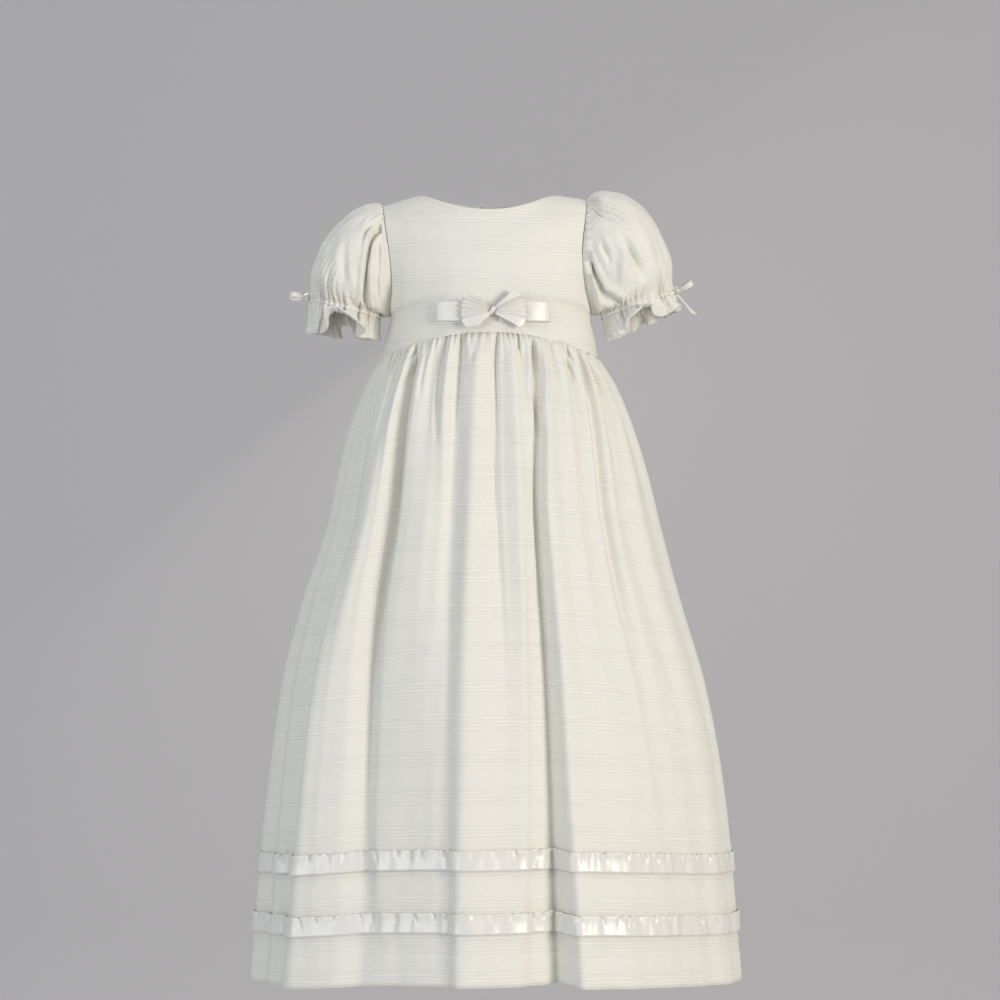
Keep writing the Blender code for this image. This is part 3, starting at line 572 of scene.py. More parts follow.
def skirt_row(table, share, per_fold):
    """Ring of skirt points at one level, per_fold columns between fold lines."""
    angles = [float(curve(share, SKIRT_LEVELS, row[0:4])) for row in table]
    heights = [float(curve(share, SKIRT_LEVELS, row[4:8])) for row in table]
    index = np.arange((len(table) - 1) * per_fold + 1) / per_fold
    lines = np.arange(len(table))
    angle = curve(index, lines, angles)
    out = FOLD_SCALE * curve(index, lines, heights) * min(1.0, share / 0.04)
    sections = column(SKIRT_SECTIONS, 0)
    left, right, front, back = (
        float(curve(share, sections, column(SKIRT_SECTIONS, k))) for k in range(1, 5)
    )
    waist_folds = WAIST_FOLDS_FRONT if table[0][0] < 0 else WAIST_FOLDS_BACK
    reach = math.pi / 360.0 * (0.5 * (left + right) + 0.5 * (front + back))
    out = out + seam_folds(waist_folds, share, angle, reach) * min(1.0, 0.25 + share / 0.02)
    a = np.radians(angle)
    half_width = np.where(np.sin(a) < 0, left, right)
    half_depth = np.where(np.cos(a) >= 0, front, back)
    nx = np.sin(a) / half_width
    ny = -np.cos(a) / half_depth
    size = np.hypot(nx, ny)
    x = half_width * np.sin(a) + out * nx / size
    y = -half_depth * np.cos(a) + out * ny / size
    top = waist_height(angle)
    centre = np.where(np.cos(a) >= 0, HEM_FRONT_Z, HEM_BACK_Z)
    hem = HEM_SIDE_Z + (centre - HEM_SIDE_Z) * np.cos(a) ** 2
    z = top + (hem - top) * share
    facing = np.where(table[0][0] < 0, -1.0, 1.0)
    y[0] += facing * SEAM
    y[-1] += facing * SEAM
    return np.stack([x, y, z], axis=1)


def skirt_surface(table, shares, per_fold, sizes, seed):
    """Skirt points in rows going up, with gathers, creases, puckers and hem, and its runs."""
    rows = np.array([skirt_row(table, share, per_fold) for share in shares])[::-1]
    down = np.asarray(shares)[::-1, None]
    waist_run = run_length(skirt_row(table, 0.0, per_fold))[None, :]
    hem_run = run_length(skirt_row(table, 1.0, per_fold))[None, :]
    depth = down * SKIRT_LENGTH

    spacing = sizes.gather_spacing / MM
    phase = 2.0 * math.pi * (waist_run / spacing + 0.9 * uneven(waist_run / 13.0, depth / 60.0, seed))
    reach = 19.0 + 16.0 * uneven(waist_run / 6.0, 0.5, seed + 1)
    fade = np.exp(-((depth / reach) ** 1.2)) * (0.42 + 0.58 * ease(depth, 0.0, 3.5))
    strength = 0.8 + 0.6 * uneven(waist_run / 9.0, 1.5, seed + 2)
    out = sizes.gather_depth / MM * strength * fade * gather_wave(phase)

    below = ease(depth, 12.0, 70.0)
    slant = hem_run / 19.0 + 0.5 * uneven(hem_run / 60.0, depth / 90.0, seed + 3)
    out = out + below * (
        0.75 * uneven(slant, depth / 190.0, seed + 4)
        + 0.34 * uneven(hem_run / 8.5, depth / 110.0, seed + 5)
        + 0.22 * uneven(hem_run / 24.0, depth / 26.0, seed + 6)
    )
    for top, bottom in (UPPER_BAND, LOWER_BAND):
        near = np.exp(-(((down - top) * SKIRT_LENGTH / 5.0) ** 2))
        near = near + 0.6 * np.exp(-(((down - bottom) * SKIRT_LENGTH / 6.0) ** 2))
        out = out + 0.38 * near * uneven(hem_run / 5.5, 0.5, seed + 7)
    line = (down - HEM_LINE) * SKIRT_LENGTH
    out = out + 0.5 * ease(line, -0.4, 1.2) - 0.45 * np.exp(-((line / 1.1) ** 2))
    out = out + 0.25 * np.exp(-((line / 7.0) ** 2)) * uneven(hem_run / 7.0, 2.5, seed + 8)
    out = out - 1.2 * np.exp(-((depth / 2.6) ** 2))
    out = out * np.ones(rows.shape[:2])
    from_seam = np.minimum(hem_run, hem_run[:, -1:] - hem_run)
    out = out * ease(from_seam, 0.0, 5.0) - 0.35 * (1.0 - ease(from_seam, 0.0, 2.2))
    points = push(rows, out)
    return points, hem_run[0], depth[:, 0]


def armhole(angle, side):
    """Armhole oval: angle 0 at the shoulder, 90 at the front, 180 under the arm."""
    middle = 0.5 * (1.0 + UNDERARM)
    half = 0.5 * (1.0 - UNDERARM)
    height = middle + half * np.cos(np.radians(angle))
    width = half_widths(height)[0 if side < 0 else 1]
    low = float(waist_height(90.0 * side))
    high = SHOULDER_LEFT_Z if side < 0 else SHOULDER_RIGHT_Z
    z = low + (high - low) * height
    y = -(ARMHOLE_DEPTH + 0.27) * np.sin(np.radians(angle))
    return np.stack([side * (width + 0.5), y, z], axis=1)


def sleeve_form(side, sections, folds, flutes, columns):
    """Rings of one sleeve from armhole to ruffle edge, and what the cuff trims need."""
    angle = np.arange(columns) * 360.0 / columns
    cosine = np.cos(np.radians(angle))
    sine = np.sin(np.radians(angle))
    shares = column(sections, 0)
    head = np.linspace(0.0, 0.2, 19)
    body = np.linspace(0.2, 0.8, 27)[1:]
    end = np.linspace(0.8, 1.0, 19)[1:]
    rings = []
    for share in np.concatenate([head, body, end]):
        under_x, under_z, top_x, top_z, depth = (
            float(curve(share, shares, column(sections, k))) for k in range(1, 6)
        )
        if share == 0.0:
            rings.append(armhole(angle, side))
            continue
        middle = np.array([0.5 * (under_x + top_x), 0.0, 0.5 * (under_z + top_z)])
        half = np.array([0.5 * (top_x - under_x), 0.0, 0.5 * (top_z - under_z)])
        length = np.linalg.norm(half)
        reach = math.pi / 360.0 * (length + depth)
        out = seam_folds(folds, share, angle, reach) * min(1.0, share / 0.03)
        near_cuff = float(ease(share, 0.86, 1.0))
        out = out * (1.0 - 0.55 * near_cuff)
        ripple = np.cos(np.radians(angle * 11.0)) + 0.5 * np.cos(np.radians(angle * 17.0 + 40.0))
        near_cuff = max(0.0, (share - 0.74) / 0.26) ** 2
        near_head = max(0.0, 1.0 - abs(share - 0.07) / 0.12) * np.clip(cosine + 0.3, 0, 1)
        out += ripple * (1.3 * near_cuff + 0.7 * near_head)
        long = half * (1.0 + out / length)[:, None]
        ring = middle + long * cosine[:, None]
        ring[:, 1] -= (depth + out) * sine
        ring[:, 0] *= side
        rings.append(ring)
    cuff = rings[-1]
    centre = cuff.mean(axis=0)
    around = np.roll(cuff, -2, axis=0) - np.roll(cuff, 2, axis=0)
    across = cuff[0] - cuff[columns // 2]
    down = unit(np.cross(across, np.array([0.0, 1.0, 0.0])))
    if down[2] > 0:
        down = -down
    outward = unit(np.cross(around, down))
    if np.sum(outward * (cuff - centre)) < 0:
        outward = -outward
    lower = cuff + down * CUFF_WIDTH
    for part in np.linspace(0.0, 1.0, 8)[1:]:
        rings.append(cuff + down * CUFF_WIDTH * part)
    lean = np.radians(round_curve(angle, flutes))
    length, more = RUFFLE_LENGTHS[int(side)]
    plumb = 0.8 if side < 0 else 0.25
    hang = unit(np.array([0.0, 0.0, -1.0]) * plumb + down * (1.0 - plumb))
    for part in np.linspace(0.0, 1.0, 23)[1:]:
        bend = 0.75 * part / 0.38 if part < 0.38 else 0.75 + 0.25 * (part - 0.38) / 0.62
        tilt = (lean * (0.5 * bend + 0.5 * max(bend, 0.75)))[:, None]
        run = ((length + more * cosine) * part)[:, None]
        rings.append(lower + (hang * np.cos(tilt) + outward * np.sin(tilt)) * run)
    return np.array(rings), outward, down


def sleeve_folds(rings, angle, seed):
    """How far small gathers, creases and ruffle waves move the rings' points out."""
    lengths = np.linalg.norm(np.diff(rings, axis=0), axis=2).mean(axis=1)
    run = np.concatenate([[0.0], np.cumsum(lengths)])[:, None]
    turn = angle[None, :] / 360.0
    cuff_run = run[CUFF_RING, 0]
    band_run = cuff_run + CUFF_WIDTH
    top = ease(np.cos(np.radians(angle)), -0.55, 0.4)[None, :]
    head_phase = 2.0 * math.pi * (44 * turn + 0.9 * uneven(turn * 17, run / 20.0, seed, 17))
    reach = 7.0 + 5.0 * uneven(turn * 23, 0.5, seed + 1, 23)
    out = 0.85 * top * np.exp(-((run / reach) ** 1.3)) * gather_wave(head_phase)
    cuff_phase = 2.0 * math.pi * (38 * turn + 1.0 * uneven(turn * 19, run / 30.0, seed + 2, 19))
    away = np.where(run < cuff_run, cuff_run - run, np.maximum(0.0, run - band_run))
    reach = 12.5 + 9.5 * uneven(turn * 21, 0.5, seed + 3, 21)
    reach = np.where(run > band_run, 1.2 * reach, reach)
    strength = 0.9 + 0.6 * uneven(turn * 27, 1.5, seed + 4, 27)
    inside_band = (run > cuff_run) & (run < band_run)
    calm = np.where(inside_band, 0.5, 1.0)
    out = out + 2.3 * calm * strength * np.exp(-((away / reach) ** 1.3)) * gather_wave(cuff_phase)
    puff = ease(run, 4.0, 18.0) * ease(cuff_run - run, 2.0, 14.0)
    out = out + puff * (
        0.9 * uneven(turn * 19 + run / 40.0, run / 34.0, seed + 5, 19)
        + 0.45 * uneven(turn * 37, run / 15.0, seed + 6, 37)
    )
    ruffle = ease(run, band_run, band_run + 10.0)
    return out + ruffle * 0.45 * uneven(turn * 31, run / 18.0, seed + 7, 31)


# Mesh building


def plant(obj, *nodes, slot):
    """The piece rides on the gown and stands for these nodes of the frame."""
    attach(obj, BODY)
    if nodes:
        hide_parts(*nodes)
    return obj


def new_piece(name, bm, material):
    mesh = bpy.data.meshes.new(name)
    bm.to_mesh(mesh)
    bm.free()
    mesh.shade_smooth()
    mesh.materials.append(material)
    piece = bpy.data.objects.new(name, mesh)
    bpy.context.scene.collection.objects.link(piece)
    return piece


def grid_mesh(points):
    """A grid laid on rows of points, and the (row, column) of each of its vertices."""
    rows, columns = points.shape[:2]
    bm = bmesh.new()
    bmesh.ops.create_grid(bm, x_segments=columns - 1, y_segments=rows - 1, size=0.5)
    places = {}
    for vert in bm.verts:
        across = round((vert.co.x + 0.5) * (columns - 1))
        up = round((vert.co.y + 0.5) * (rows - 1))
        vert.co = points[up, across] * MM
        places[vert.index] = (up, across)
    return bm, places


def cloth(name, points, runs, heights, material, wall, tube=False, offset=-1.0):
    """A thin cloth shell on a grid of points: rows go up, columns to the right outside.

    runs and heights are the cloth's own width and length in millimetres, for its weave.
    """
    if tube:
        points = np.concatenate([points, points[:, :1]], axis=1)
    shape = points.shape[:2]
    runs = np.broadcast_to(runs, shape)
    heights = np.asarray(heights)
    heights = np.broadcast_to(heights if heights.ndim == 2 else heights[:, None], shape)
    bm, places = grid_mesh(points)
    weave = bm.loops.layers.uv.new("weave")
    for face in bm.faces:
        for loop in face.loops:
            place = places[loop.vert.index]
            loop[weave].uv = (runs[place] * MM, heights[place] * MM)
    if tube:
        bmesh.ops.remove_doubles(bm, verts=bm.verts, dist=1e-6)
    piece = new_piece(name, bm, material)
    shell = piece.modifiers.new("thickness", "SOLIDIFY")
    shell.thickness = wall
    shell.offset = offset
    return piece


def ribbon_strip(name, path, turn, width, material, wall, ends):
    """A ribbon along a path, width wide in the direction of turn at each point."""
    path = np.asarray(path, dtype=float)
    turn = np.broadcast_to(np.asarray(turn, dtype=float), path.shape)
    turn = unit(turn)
    across = np.linspace(-0.5, 0.5, 9) * width
    rows = np.array([path + turn * a for a in across])
    crown = 0.25 * (1.0 - (2.0 * np.linspace(-0.5, 0.5, 9)) ** 2)[:, None] * np.ones(len(path))
    rows = push(rows, crown)
    slant = np.linspace(-0.5, 0.5, 9)[:, None] * ends
    rows[:, -1] += slant * unit(path[-1] - path[-2])
    return cloth(name, rows, run_length(path), across, material, wall, offset=0.0)


def stitch_row(name, path, normals, material, sizes, pitch=None):
    """A row of sewn stitches along a path of points on the cloth."""
    pitch = (pitch or sizes.stitch_pitch) / MM
    run = run_length(path)
    count = max(2, int(run[-1] / pitch))
    starts = np.linspace(0.0, run[-1], count + 1)[:-1]
    bm = bmesh.new()
    radius = sizes.thread_diameter / 2.0
    for start in starts:
        ends = []
        for place in (start + 0.12 * pitch, start + 0.80 * pitch):
            ends.append(np.array([np.interp(place, run, path[:, k]) for k in range(3)]))
        out = np.array([np.interp(start + 0.45 * pitch, run, normals[:, k]) for k in range(3)])
        centre = Vector((0.5 * (ends[0] + ends[1]) + out * radius / MM * 0.55) * MM)
        along = Vector(ends[1] - ends[0])
        if along.length < 1e-6:
            continue
        turn = along.to_track_quat("Z", "Y").to_matrix().to_4x4()
        stitch = bmesh.ops.create_icosphere(bm, subdivisions=1, radius=1.0)
        half = along.length * MM * 0.5
        place = Matrix.Translation(centre) @ turn @ Matrix.Diagonal((radius, radius, half, 1.0))
        bmesh.ops.transform(bm, matrix=place, verts=stitch["verts"])
    piece = new_piece(name, bm, material)
    return plant(piece, slot="cotton")


# Materials


def add(tree, kind, inputs=None, **settings):
    node = tree.nodes.new(kind)
    for name, value in settings.items():
        setattr(node, name, value)
    for key, value in (inputs or {}).items():
        if isinstance(value, bpy.types.NodeSocket):
            tree.links.new(value, node.inputs[key])
        else:
            node.inputs[key].default_value = value
    return node


def sums(tree, operation, first, second=0.0, third=0.0):
    inputs = {0: first, 1: second, 2: third}
    return add(tree, "ShaderNodeMath", inputs, operation=operation).outputs[0]


def smooth_step(tree, value, low, high):
    """1 where value passes high and 0 before low, smooth between, either way round."""
    inputs = {"Value": value, "From Min": low, "From Max": high}
    node = add(tree, "ShaderNodeMapRange", inputs, interpolation_type="SMOOTHSTEP")
    return node.outputs["Result"]


def blank_material(name, colour):
    material = bpy.data.materials.new(name)
    material.use_nodes = True
    material.diffuse_color = (*colour, 1.0)
    tree = material.node_tree
    return material, tree, tree.nodes["Principled BSDF"]


def tinted(tree, factor, low, high):
    """A colour between two, by a factor from 0 to 1."""
    node = add(tree, "ShaderNodeMix", data_type="RGBA")
    tree.links.new(factor, node.inputs[0])
    node.inputs[6].default_value = (*low, 1.0)
    node.inputs[7].default_value = (*high, 1.0)
    return node.outputs[2]


def cotton_material(sizes, colours):
    """Plain woven cotton with groups of fine crosswise ribs and small woven diamonds."""
    colour = tuple(colours.cotton)
    material, tree, shader = blank_material("ribbed_cotton", colour)
    uv = add(tree, "ShaderNodeUVMap", uv_map="weave").outputs["UV"]
    parts = add(tree, "ShaderNodeSeparateXYZ", {0: uv})
    along, up = parts.outputs["X"], parts.outputs["Y"]
    drift = add(tree, "ShaderNodeTexNoise", {"Vector": uv, "Scale": 9.0, "Detail": 2.0})
    up = sums(tree, "MULTIPLY_ADD", drift.outputs["Fac"], 0.0026, up)
    cycle = sums(tree, "FRACT", sums(tree, "DIVIDE", up, sizes.rib_repeat))
    from_ribs = sums(tree, "ABSOLUTE", sums(tree, "SUBTRACT", cycle, 0.28))
    in_ribs = sums(tree, "MULTIPLY_ADD", smooth_step(tree, from_ribs, 0.28, 0.22), 0.86, 0.14)
    line = sums(tree, "DIVIDE", up, sizes.rib_spacing)
    whole = sums(tree, "FLOOR", line)
    chance = add(tree, "ShaderNodeTexWhiteNoise", {"W": whole}, noise_dimensions="1D")
    strength = sums(tree, "MULTIPLY_ADD", chance.outputs["Value"], 0.45, 0.55)
    wave = sums(tree, "COSINE", sums(tree, "MULTIPLY", line, 2.0 * math.pi))
    rib = sums(tree, "MULTIPLY_ADD", wave, -0.5, 0.5)
    slub_map = add(tree, "ShaderNodeMapping", {"Vector": uv, "Scale": (48.0, 360.0, 1.0)})
    slub = add(tree, "ShaderNodeTexNoise", {"Vector": slub_map.outputs[0], "Scale": 1.0, "Detail": 3.0})
    slubs = smooth_step(tree, slub.outputs["Fac"], 0.35, 0.65)
    strength = sums(tree, "MULTIPLY", strength, sums(tree, "MULTIPLY_ADD", slubs, 0.75, 0.25))
    rib = sums(tree, "MULTIPLY", sums(tree, "MULTIPLY", rib, in_ribs), strength)

    from_band = sums(tree, "MULTIPLY", sums(tree, "SUBTRACT", cycle, 0.76), sizes.rib_repeat)
    row = sums(tree, "FLOOR", sums(tree, "DIVIDE", up, sizes.rib_repeat))
    shifted = sums(tree, "MULTIPLY_ADD", row, 0.37, sums(tree, "DIVIDE", along, sizes.motif_spacing))
    from_motif = sums(tree, "SUBTRACT", sums(tree, "FRACT", shifted), 0.5)
    from_motif = sums(tree, "MULTIPLY", from_motif, sizes.motif_spacing)
    wide = sums(tree, "ABSOLUTE", from_motif)
    high = sums(tree, "ABSOLUTE", from_band)
    diamond = sums(tree, "ADD", wide, high)
    dash = sums(tree, "SINE", sums(tree, "MULTIPLY", from_motif, 2.0 * math.pi / 0.0021))
    step = sums(tree, "SINE", sums(tree, "MULTIPLY", from_band, 2.0 * math.pi / 0.0026))
    dots = smooth_step(tree, sums(tree, "MULTIPLY", dash, step), 0.0, 0.6)
    motif = sums(tree, "MULTIPLY", smooth_step(tree, diamond, 0.0068, 0.0048), dots)

    weave_wave = sums(tree, "SINE", sums(tree, "MULTIPLY", along, 2.0 * math.pi / 0.0009))
    weft_wave = sums(tree, "SINE", sums(tree, "MULTIPLY", up, 2.0 * math.pi / 0.0009))
    weave = sums(tree, "MULTIPLY", weave_wave, weft_wave)
    fuzz = add(tree, "ShaderNodeTexNoise", {"Vector": uv, "Scale": 620.0, "Detail": 2.0})

    height = sums(tree, "MULTIPLY", rib, 0.00021)
    height = sums(tree, "MULTIPLY_ADD", motif, 0.00010, height)
    height = sums(tree, "MULTIPLY_ADD", weave, 0.000016, height)
    height = sums(tree, "MULTIPLY_ADD", fuzz.outputs["Fac"], 0.00007, height)
    relief = add(tree, "ShaderNodeBump", {"Height": height, "Distance": 1.0, "Strength": 0.8})

    dense = sums(tree, "MAXIMUM", rib, sums(tree, "MULTIPLY", motif, 0.55))
    thin = sums(tree, "MULTIPLY", sums(tree, "SUBTRACT", in_ribs, 0.14), 0.30)
    whole_cloth = sums(tree, "SUBTRACT", sums(tree, "MULTIPLY_ADD", dense, 1.0, 0.55), thin)
    open_cloth = tuple(0.85 * c for c in colour)
    tone = tinted(tree, whole_cloth, open_cloth, colour)
    patch = add(tree, "ShaderNodeTexNoise", {"Vector": uv, "Scale": 14.0, "Detail": 3.0})
    shade = add(tree, "ShaderNodeMix", data_type="RGBA", blend_type="MULTIPLY")
    shade.inputs[0].default_value = 1.0
    tree.links.new(tone, shade.inputs[6])
    faint = tinted(tree, patch.outputs["Fac"], (0.975, 0.975, 0.98), (1.0, 1.0, 0.995))
    tree.links.new(faint, shade.inputs[7])
    tree.links.new(shade.outputs[2], shader.inputs["Base Color"])
    rough = sums(tree, "MULTIPLY_ADD", dense, -0.12, 0.86)
    tree.links.new(rough, shader.inputs["Roughness"])
    tree.links.new(relief.outputs["Normal"], shader.inputs["Normal"])
    shader.inputs["Sheen Weight"].default_value = 0.25
    shader.inputs["Sheen Roughness"].default_value = 0.5
    shader.inputs["Specular IOR Level"].default_value = 0.25
    return material


def satin_material(colours):
    """Satin ribbon: smooth, with fine lengthwise threads."""
    colour = tuple(colours.satin)
    material, tree, shader = blank_material("satin_ribbon", colour)
    uv = add(tree, "ShaderNodeUVMap", uv_map="weave").outputs["UV"]
    stretch = add(tree, "ShaderNodeMapping", {"Vector": uv, "Scale": (60.0, 2600.0, 1.0)})
    threads = add(tree, "ShaderNodeTexNoise", {"Vector": stretch.outputs[0], "Scale": 1.0, "Detail": 2.0})
    cross = add(tree, "ShaderNodeMapping", {"Vector": uv, "Scale": (900.0, 40.0, 1.0)})
    ribs = add(tree, "ShaderNodeTexNoise", {"Vector": cross.outputs[0], "Scale": 1.0, "Detail": 1.0})
    height = sums(tree, "MULTIPLY", threads.outputs["Fac"], 0.00003)
    height = sums(tree, "MULTIPLY_ADD", ribs.outputs["Fac"], 0.00003, height)
    relief = add(tree, "ShaderNodeBump", {"Height": height, "Distance": 1.0, "Strength": 0.7})
    darker = tuple(0.955 * c for c in colour)
    tone = tinted(tree, smooth_step(tree, threads.outputs["Fac"], 0.35, 0.65), darker, colour)
    tree.links.new(tone, shader.inputs["Base Color"])
    rough = sums(tree, "MULTIPLY_ADD", ribs.outputs["Fac"], 0.12, 0.25)
    tree.links.new(rough, shader.inputs["Roughness"])
    tree.links.new(relief.outputs["Normal"], shader.inputs["Normal"])
    shader.inputs["Specular IOR Level"].default_value = 0.6
    shader.inputs["Sheen Weight"].default_value = 0.1
    return material


def thread_material(colours):
    """Twisted sewing thread."""
    colour = tuple(colours.thread)
    material, tree, shader = blank_material("sewing_thread", colour)
    place = add(tree, "ShaderNodeTexCoord").outputs["Object"]
    twist = add(tree, "ShaderNodeTexNoise", {"Vector": place, "Scale": 1800.0, "Detail": 1.0})
    tone = tinted(tree, twist.outputs["Fac"], tuple(0.86 * c for c in colour), colour)
    tree.links.new(tone, shader.inputs["Base Color"])
    inputs = {"Height": twist.outputs["Fac"], "Distance": 0.0001, "Strength": 0.6}
    relief = add(tree, "ShaderNodeBump", inputs)
    tree.links.new(relief.outputs["Normal"], shader.inputs["Normal"])
    shader.inputs["Roughness"].default_value = 0.6
    return material


def pearl_material(colours):
    """Pearl button: cloudy, smooth and glossy."""
    colour = tuple(colours.button)
    material, tree, shader = blank_material("pearl_button", colour)
    place = add(tree, "ShaderNodeTexCoord").outputs["Object"]
    inputs = {"Vector": place, "Scale": 260.0, "Detail": 3.0, "Distortion": 1.5}
    cloud = add(tree, "ShaderNodeTexNoise", inputs)
    darker = (0.86 * colour[0], 0.88 * colour[1], 0.92 * colour[2])
    tone = tinted(tree, smooth_step(tree, cloud.outputs["Fac"], 0.3, 0.7), darker, colour)
    tree.links.new(tone, shader.inputs["Base Color"])
    rough = sums(tree, "MULTIPLY_ADD", cloud.outputs["Fac"], 0.15, 0.12)
    tree.links.new(rough, shader.inputs["Roughness"])
    shader.inputs["Coat Weight"].default_value = 0.5
    shader.inputs["Coat Roughness"].default_value = 0.08
    return material


def backdrop_material(colours):
    """Plain matt paper of the floor and backdrop."""
    colour = tuple(colours.backdrop)
    material, tree, shader = blank_material("backdrop_paper", colour)
    place = add(tree, "ShaderNodeTexCoord").outputs["Object"]
    grain = add(tree, "ShaderNodeTexNoise", {"Vector": place, "Scale": 3.0, "Detail": 1.0})
    tone = tinted(tree, grain.outputs["Fac"], tuple(0.99 * c for c in colour), colour)
    tree.links.new(tone, shader.inputs["Base Color"])
    shader.inputs["Roughness"].default_value = 0.95
    shader.inputs["Specular IOR Level"].default_value = 0.1
    return material


def finish_of(name):
    """One of the gown's materials, made the first time that a piece asks for it."""
    found = bpy.data.materials.get(name)
    if found is not None:
        return found
    sizes = bpy.context.scene.gown_sizes
    colours = bpy.context.scene.gown_colours
    makers = {
        "ribbed_cotton": lambda: cotton_material(sizes, colours),
        "satin_ribbon": lambda: satin_material(colours),
        "sewing_thread": lambda: thread_material(colours),
        "pearl_button": lambda: pearl_material(colours),
        "backdrop_paper": lambda: backdrop_material(colours),
    }
    return makers[name]()


# Sizes and colours a user would change


class GownSizes(bpy.types.PropertyGroup):
    cloth_thickness: bpy.props.FloatProperty(
        name="Cloth", description="Thickness of the cotton", default=0.0006, unit="LENGTH"
    )
    ribbon_thickness: bpy.props.FloatProperty(
        name="Ribbon", description="Thickness of the satin ribbon", default=0.00035, unit="LENGTH"
    )
    gather_spacing: bpy.props.FloatProperty(
        name="Gather spacing", description="Distance between waist gathers", default=0.0056,
        unit="LENGTH",
    )
    gather_depth: bpy.props.FloatProperty(
        name="Gather depth", description="Depth of the waist gathers", default=0.0026,
        unit="LENGTH",
    )
    rib_spacing: bpy.props.FloatProperty(
        name="Rib spacing", description="Distance between woven ribs", default=0.00305,
        unit="LENGTH",
    )
    rib_repeat: bpy.props.FloatProperty(
        name="Rib repeat", description="Distance between groups of ribs", default=0.0315,
        unit="LENGTH",
    )
    motif_spacing: bpy.props.FloatProperty(
        name="Motif spacing", description="Distance between woven diamonds", default=0.021,
        unit="LENGTH",
    )
    stitch_pitch: bpy.props.FloatProperty(
        name="Stitch", description="Length of one stitch and its gap", default=0.0031,
        unit="LENGTH",
    )
    thread_diameter: bpy.props.FloatProperty(
        name="Thread", description="Diameter of the sewing thread", default=0.00042,
        unit="LENGTH",
    )


class GownColours(bpy.types.PropertyGroup):
    cotton: bpy.props.FloatVectorProperty(
        name="Cotton", description="Colour of the cotton", default=(0.81, 0.792, 0.715),
        min=0.0, max=1.0, subtype="COLOR",
    )
    satin: bpy.props.FloatVectorProperty(
        name="Satin", description="Colour of the ribbon and bow", default=(0.75, 0.733, 0.675),
        min=0.0, max=1.0, subtype="COLOR",
    )
    thread: bpy.props.FloatVectorProperty(
        name="Thread", description="Colour of the sewing thread", default=(0.80, 0.79, 0.75),
        min=0.0, max=1.0, subtype="COLOR",
    )
    button: bpy.props.FloatVectorProperty(
        name="Buttons", description="Colour of the back buttons", default=(0.80, 0.78, 0.73),
        min=0.0, max=1.0, subtype="COLOR",
    )
    backdrop: bpy.props.FloatVectorProperty(
        name="Backdrop", description="Colour of the floor and backdrop",
        default=(0.605, 0.592, 0.592), min=0.0, max=1.0, subtype="COLOR",
    )


# Operators, one for each group of pieces


class GOWN_OT_skirt(bpy.types.Operator):
    """Sew the gathered skirt, front and back, with its hem"""

    bl_idname = "gown.skirt"
    bl_label = "Skirt"

    def execute(self, context):
        sizes = context.scene.gown_sizes
        shares = []
        for start, end, count in SKIRT_ROWS:
            shares.extend(np.linspace(start, end, count + 1)[:-1])
        shares.append(1.0)
        cotton = finish_of("ribbed_cotton")
        for name, table, per_fold, seed in SKIRT_SIDES:
            points, runs, depths = skirt_surface(table, shares, per_fold, sizes, seed)
            piece = cloth(
                "skirt_" + name + "_cloth", points, runs, SKIRT_LENGTH - depths, cotton,
                sizes.cloth_thickness,
            )
            plant(piece, "skirt_" + name, slot="cotton")
        return {"FINISHED"}


class GOWN_OT_ribbon_bands(bpy.types.Operator):
    """Sew the two ruched satin bands round the skirt"""

    bl_idname = "gown.ribbon_bands"
    bl_label = "Ribbon bands"

    def execute(self, context):
        sizes = context.scene.gown_sizes
        satin = finish_of("satin_ribbon")
        for side, table, per_fold, seed in SKIRT_SIDES:
            for band, (top, bottom), turn in (("upper", UPPER_BAND, 5), ("lower", LOWER_BAND, 9)):
                shares = np.linspace(top, bottom, 11)
                base, runs, _ = skirt_surface(table, shares, 2 * per_fold, sizes, seed)
                down = (np.linspace(1.0, 0.0, 11))[:, None]
                run = runs[None, :]
                key = seed + turn
                wide = uneven(run / 7.6 + 0.2 * down, 0.5 + 0.4 * down, key)
                small = uneven(run / 2.9, 1.5, key + 1)
                lift = 0.7 + 1.3 * (1.0 + wide) * (0.65 + 0.35 * (1.0 - down))
                lift = lift + 0.6 * (1.0 + small) * np.exp(-((down / 0.30) ** 1.5))
                lift = lift + 0.8 * down**2 * (1.0 + uneven(run / 30.0, 2.5, key + 2))
                rng = np.random.default_rng(key + 3)
                place = 8.0
                pulled = np.zeros(run.shape)
                while place < runs[-1] - 8.0:
                    lean = rng.uniform(0.10, 0.34)
                    long = rng.uniform(0.35, 0.9)
                    for way in (-1.0, 1.0):
                        deep = rng.uniform(0.5, 1.5)
                        line = np.abs(run - place - way * lean * 18.0 * down)
                        fade = 1.0 - ease(down, 0.3 * long, long)
                        lift = lift - deep * bump(line, 2.6) * fade
                        pulled = pulled + 0.25 * deep * bump(run - place, 3.0)
                    place += rng.uniform(9.0, 27.0)
                lift = np.maximum(lift, 0.35)
                points = push(base, lift)
                rise = 0.7 * small * (1.0 - down) ** 4 - pulled * (1.0 - down) ** 3
                points[..., 2] += rise - 0.35 * down * uneven(run / 40.0, 3.5, key + 4)
                label = "ribbon_%s_%s" % (band, side)
                across = (np.linspace(1.0, 0.0, 11) - 0.5) * (bottom - top) * SKIRT_LENGTH
                piece = cloth(
                    label + "_satin", points, runs, across, satin, sizes.ribbon_thickness, offset=1.0
                )
                plant(piece, label, slot="satin")
                normals = grid_normals(points)
                thread = finish_of("sewing_thread")
                stitch_row(label + "_stitches", points[9], normals[9], thread, sizes, pitch=0.0042)
        return {"FINISHED"}


